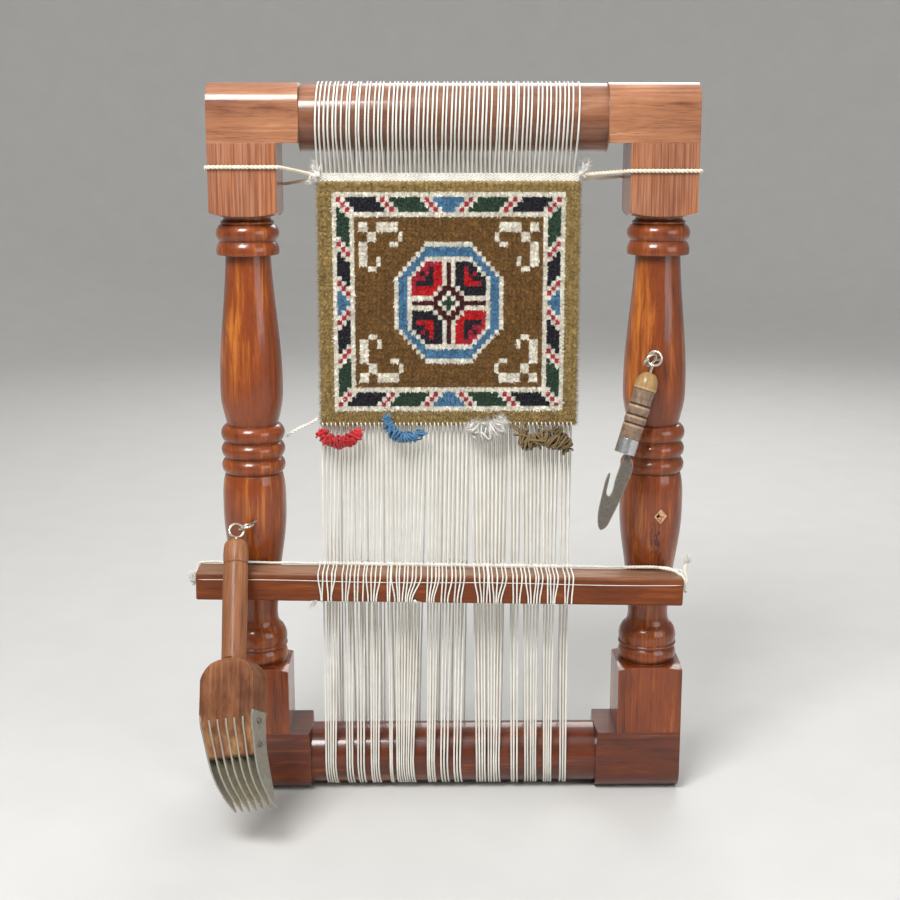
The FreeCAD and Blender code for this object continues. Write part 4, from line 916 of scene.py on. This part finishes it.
def hank(dye, part, points, tone, strands, thick, swell, coils, loop, hairs, hair=1.8):
    """A hanging end of doubled yarn: strands that wander round one path, curled loops round
    them, loose fibres."""
    soup = Soup()
    base = srgb(tone)
    path = curve(points, 0.4)
    n = len(path)
    N, B = frames(path[None])
    t = np.linspace(0, 1, n)
    P = []
    for k in range(strands):
        angle = k / strands + rng.uniform(0.8, 2.2) * t * (1 if k % 2 else -1) + rng.uniform(0, 1)
        angle = TURN * angle + 0.9 * np.sin(TURN * 3.5 * t + rng.uniform(0, TURN))
        reach = swell * (0.3 + 0.7 * np.sin(math.pi * t) ** 0.5) * rng.uniform(0.4, 1.1)
        reach = reach * (1 + 0.30 * np.sin(TURN * 5 * t + rng.uniform(0, TURN)))
        P.append(path + reach[:, None] * around(angle, N[0], B[0]))
    P = np.stack(P)
    P[:, :, 1] = np.minimum(P[:, :, 1], YARN_BACK)
    tubes(soup, P, thick, base * rng.uniform(0.75, 1.2, (strands, 1)), 7)
    # curled yarn: one strand that loops round the rest, each loop a little different
    at = np.linspace(0.02, 0.98, coils * 16)
    turn = TURN * coils * at + 0.5 * np.sin(TURN * 7.3 * at)
    size = loop * (0.8 + 0.35 * np.interp(at, np.linspace(0, 1, coils), rng.uniform(0, 1, coils)))
    size = size * (0.55 + 0.45 * np.sin(math.pi * at) ** 0.4)
    drift = np.interp(at, np.linspace(0, 1, coils * 2), rng.normal(0, 0.7, coils * 2))
    centre, n1, n2 = (read_off(line, t, at) for line in (path, N[0], B[0]))
    lean = np.interp(at, np.linspace(0, 1, coils), rng.normal(0, 0.55 * loop, coils))
    shift = (drift + lean * np.sin(turn))[:, None] * unit(np.gradient(centre, axis=0))
    ring = centre + size[:, None] * around(turn, n1, n2) + shift
    ring += 0.32 * eased(rng.normal(size=ring.shape) * 2.2, 7)
    ring[:, 1] = np.minimum(0.8 * ring[:, 1] + 0.2 * path[0, 1] - 0.9, YARN_BACK)
    shade = base * (0.85 + 0.3 * rng.random())
    tubes(soup, ring, thick * 1.05, shade, 7)
    lint(soup, ring[None], hairs // 2, hair * 0.8, base, 0.045)
    lint(soup, P, hairs, hair, base, 0.045)
    return soup.mesh(f"yarn_{dye}_hank{part}", "frame", f"{dye}_wool", WOOL, f"yarn_{dye}")


hank("red", "", [(-82, -9.5, 237), (-80, -10.5, 231.8), (-71, -11, 228.6), (-61, -10.5, 231.5),
                 (-58, -9.5, 237)], "D42A2E", 14, 0.52, 3.0, coils=30, loop=3.4, hairs=2600)
hank("red", "_ends", [(-80, -9.5, 235), (-75, -12, 230.5), (-67, -12.2, 229.8), (-60.5, -10.2, 235)],
     "C0242A", 6, 0.5, 2.2, coils=15, loop=3.8, hairs=700)
hank("blue", "", [(-41, -9.2, 246), (-40, -10.2, 239), (-34, -11, 232.8), (-26, -10.4, 231.8),
                  (-18, -9.8, 235.5)], "4C7EA4", 16, 0.50, 3.2, coils=20, loop=3.2, hairs=2600, hair=2.0)
hank("white", "", [(10, -9.4, 239), (14, -10.5, 236.0), (20, -11.5, 235.0), (27, -10.8, 237.5),
                   (31, -9.6, 243)], "F0ECE4", 18, 0.50, 4.8, coils=10, loop=4.2, hairs=5200, hair=5.0)
hank("brown", "",
     [(41, -9.5, 236), (45, -10.8, 229.5), (50, -11.5, 229), (55, -11, 232.5), (62, -11.5, 229.5),
      (70, -10.4, 227)], "7C6640", 12, 0.52, 3.2, coils=30, loop=5.4, hairs=2400)
hank("brown", "_drop", [(62, -10, 238), (66, -11, 231), (71, -10.6, 222.5)], "6C5834", 8, 0.52, 2.6,
     coils=13, loop=4.6, hairs=900)

# ---- heddle strings

BAR_AT = np.array([-8.5, -27.2, 142.0])
BAR_TILT = about("Y", 1.0)
BAR_HALF = (149.5, 10.0, 8.75)


def on_bar(points):
    """Points given in the bar's own frame, x along it, in the loom's frame."""
    return np.asarray(points, float) @ BAR_TILT.T + BAR_AT


def leashes():
    soup = Soup()
    share = (WEAVE_LOW - BAR_AT[2]) / (WEAVE_LOW - BEAM_LOW)
    back_x = (even + PITCH / 4) * (1 - share) + back_low * share
    back_y = SHED + (WRAPS[BEAM_LOW] - SHED) * share
    middles = np.concatenate([np.full(n, (a + b) / 2) for a, b, n in BUNCHES])
    tops = 0.38 * even + 0.62 * (middles + 1.7 * (bunched - middles)) + rng.normal(0, 0.45, THREADS)
    feet = 0.02 * even + 0.98 * bunched + rng.normal(0, 0.22, THREADS)
    feet = np.where(rng.random(THREADS) < 0.12, 0.5 * feet + 0.5 * even, feet)
    _, hy, hz = BAR_HALF
    gap = 0.5
    for i in range(THREADS):
        top, foot = tops[i] - BAR_AT[0], feet[i] - BAR_AT[0]
        down = np.linspace(0, 1, 14)
        face = dots(top + (foot - top) * smooth(down * 1.05), -hy - gap,
                    hz - 0.6 - down * (2 * hz - 1.2))
        over = [(top, hy + 0.4, hz + 0.9), (top, hy - 3, hz + gap), (top, -hy + 1.0, hz + gap)]
        under = [(foot, -hy + 1.0, -hz - gap), (foot, hy - 1.0, -hz - gap), (foot, hy + gap, -hz + 1.0)]
        loop = on_bar(np.concatenate([over, face, under]))
        eye_z = 146.0 + rng.normal(0, 1.0)
        eye = [(back_x[i] + 0.5, back_y + 0.9, eye_z), (back_x[i] - 0.5, back_y + 0.9, eye_z + 0.6)]
        path = np.concatenate([loop, eye, on_bar([(top, hy + 0.9, hz - 0.2)])])
        path = eased(resample(path, 0.7), 3)
        radius = 0.46 * (1 + 0.05 * rng.normal(size=(1, len(path))))
        tubes(soup, path, radius, COTTON * rng.uniform(0.92, 1.06), 6)
        # the half hitch that holds the leash on the cord
        t = np.linspace(0, TURN * 1.6, 22)
        hitch = on_bar(dots(top + 0.9 * (t / TURN - 0.8), hy - 1.5 + 1.15 * np.cos(t),
                            hz + 1.3 + 1.15 * np.sin(t)))
        tubes(soup, hitch, 0.42, COTTON * rng.uniform(0.95, 1.08), 6)
        lint(soup, path[None], 22, 1.2, COTTON)
    left = on_bar([(-75.5, -hy - 0.6, -hz + 0.5)])[0]
    fray(soup, left, (-0.8, -0.2, -0.55), 34, 7, 0.22, COTTON, 0.10)
    middle = on_bar([(-15.5, -hy - 0.7, -hz + 1.2)])[0]
    knot(soup, middle, 0.9, 0.4, COTTON, 3)
    fray(soup, middle, (1.0, -0.1, -0.3), 16, 5, 0.15, COTTON, 0.10)
    return soup.mesh("heddle_leash_strings", "heddle", "leash_cotton", STRING, "heddle_leashes")


leashes()


def bar_cord():
    """The cord that carries the leashes, knotted round the bar's ends, and a thin line along
    the front."""
    soup = Soup()
    hx, hy, hz = BAR_HALF
    cord = [(-hx - 1.2, 2, 1), (-hx - 1.2, hy - 1.5, hz + 0.4), (-hx + 2, hy - 1.5, hz + 1.3),
            (hx - 8, hy - 1.5, hz + 1.3), (hx + 0.9, 4, hz + 1.0), (hx + 1.2, 0, 3), (hx + 1.2, 0, -1)]
    path = eased(resample(np.array(cord, float), 0.5), 7)
    path[:, 2] += np.where(np.abs(path[:, 0]) < hx - 6,
                           0.25 * np.abs(np.sin(path[:, 0] * 0.12)) * (np.abs(path[:, 0] + 4) > 84), 0)
    path = on_bar(path)
    twisted(soup, path, 0.78, COTTON, 2, 3.0)
    lint(soup, path[None], 420, 1.7, COTTON)
    line = dots(np.linspace(-hx + 1, hx - 1, 90), -hy - 0.22, hz - 4.4)
    line[:, 2] += 0.35 * np.sin(line[:, 0] * 0.045) + 0.1 * rng.normal(size=90)
    tubes(soup, on_bar(eased(line, 7)), 0.22, COTTON * 1.05, 6)
    # left end: a knot with a short frayed tail; right end: a knot and a tail that stands up
    left = on_bar([(-hx - 2.0, 0.5, 2.0)])[0]
    knot(soup, left, 2.1, 0.75, COTTON, 7)
    fray(soup, left, (-0.6, -0.2, 0.6), 110, 7.0, 0.45, COTTON, 0.14)
    fray(soup, left, (-0.3, -0.1, -0.9), 60, 5.5, 0.35, COTTON, 0.13)
    right = on_bar([(hx + 1.6, 0.0, -0.5)])[0]
    knot(soup, right, 2.1, 0.75, COTTON, 7)
    up = curve(on_bar([(hx + 1.6, 0, 0.5), (hx + 2.8, -1.2, 6), (hx + 1.2, -2.0, 12),
                       (hx + 2.6, -2.0, 17.5)]), 0.4)
    twisted(soup, up, 1.25, COTTON, 3, 4.4)
    fray(soup, up[-4], (0.15, 0, 1), 190, 6.5, 0.30, COTTON, 0.22)
    thick = curve(on_bar([(hx - 36, hy - 1, hz + 1.2), (hx - 26, 6, hz + 2.4), (hx - 14, 3, hz + 3.2),
                          (hx - 4, -1, hz + 2.0), (hx + 1.3, -3.0, hz - 3), (hx + 1.7, -1.0, 0)]), 0.4)
    twisted(soup, thick, 1.05, COTTON, 2, 4.2)
    return soup.mesh("heddle_cord_twine", "heddle", "leash_cotton", STRING, "heddle_cord")


bar_cord()

# ---- floor, light and camera

# a pale floor that sweeps up into a wall on all sides
sweep = Soup()
bend = np.linspace(0, math.pi / 2, 13)[1:]
radii = np.concatenate([[1, 800, 1900], 1900 + 1100 * np.sin(bend), [3000]])
heights = np.concatenate([[0, 0, 0], 1100 * (1 - np.cos(bend)), [4200]]) - 0.2
azimuth = np.linspace(0, TURN, 73)
wall = dots(radii[:, None] * np.cos(azimuth), radii[:, None] * np.sin(azimuth), heights[:, None])
sheet(sweep, wall[None], (1, 1, 1))
ground = Look("floor_look")
speck = ground.noise(ground.place(), 0.02, 4)
ground.set(Base_Color=ground.mix(speck, "C2C1BE", "CAC9C6"), Roughness=0.8)
floor = sweep.mesh("floor", None, None, ground.material)

world = bpy.data.worlds.new("studio")
world.use_nodes = True
sky = world.node_tree.nodes["Background"].inputs
sky["Color"].default_value = (0.80, 0.81, 0.83, 1)
sky["Strength"].default_value = 0.9
bpy.context.scene.world = world


def placed(name, data, place):
    """An object in the scene, at a place in metres from the loom's middle."""
    ob = bpy.data.objects.new(name, data)
    ob.location = Vector(place) + Vector(MIDDLE * MM)
    bpy.context.scene.collection.objects.link(ob)
    return ob


TARGET = Vector(MIDDLE * MM) + Vector((0, 0, 0.22))
for name, place, size, power in (
        ("key", (-0.40, -0.85, 1.30), 0.55, 24), ("fill", (1.25, -1.1, 0.80), 1.0, 10),
        ("rim", (0.30, 1.2, 1.2), 0.9, 12)):
    light = bpy.data.lights.new(name, "AREA")
    light.size, light.energy = size, power
    lamp = placed(name, light, place)
    lamp.rotation_euler = (TARGET - lamp.location).to_track_quat("-Z", "Y").to_euler()

# the camera stands in front of the loom, level with the top beam, and looks slightly down
CAMERA_DOWN, CAMERA_ASIDE = 12.327, 0.700   # degrees below level, and to the right
camera = bpy.data.cameras.new("camera")
camera.lens, camera.sensor_width = 60.76, 36
eye = placed("camera", camera, (-0.01337, -0.92885, 0.42434))
eye.rotation_euler = math.radians(90 - CAMERA_DOWN), 0, math.radians(-CAMERA_ASIDE)
bpy.context.scene.camera = eye
bpy.context.scene.view_settings.view_transform = "Standard"
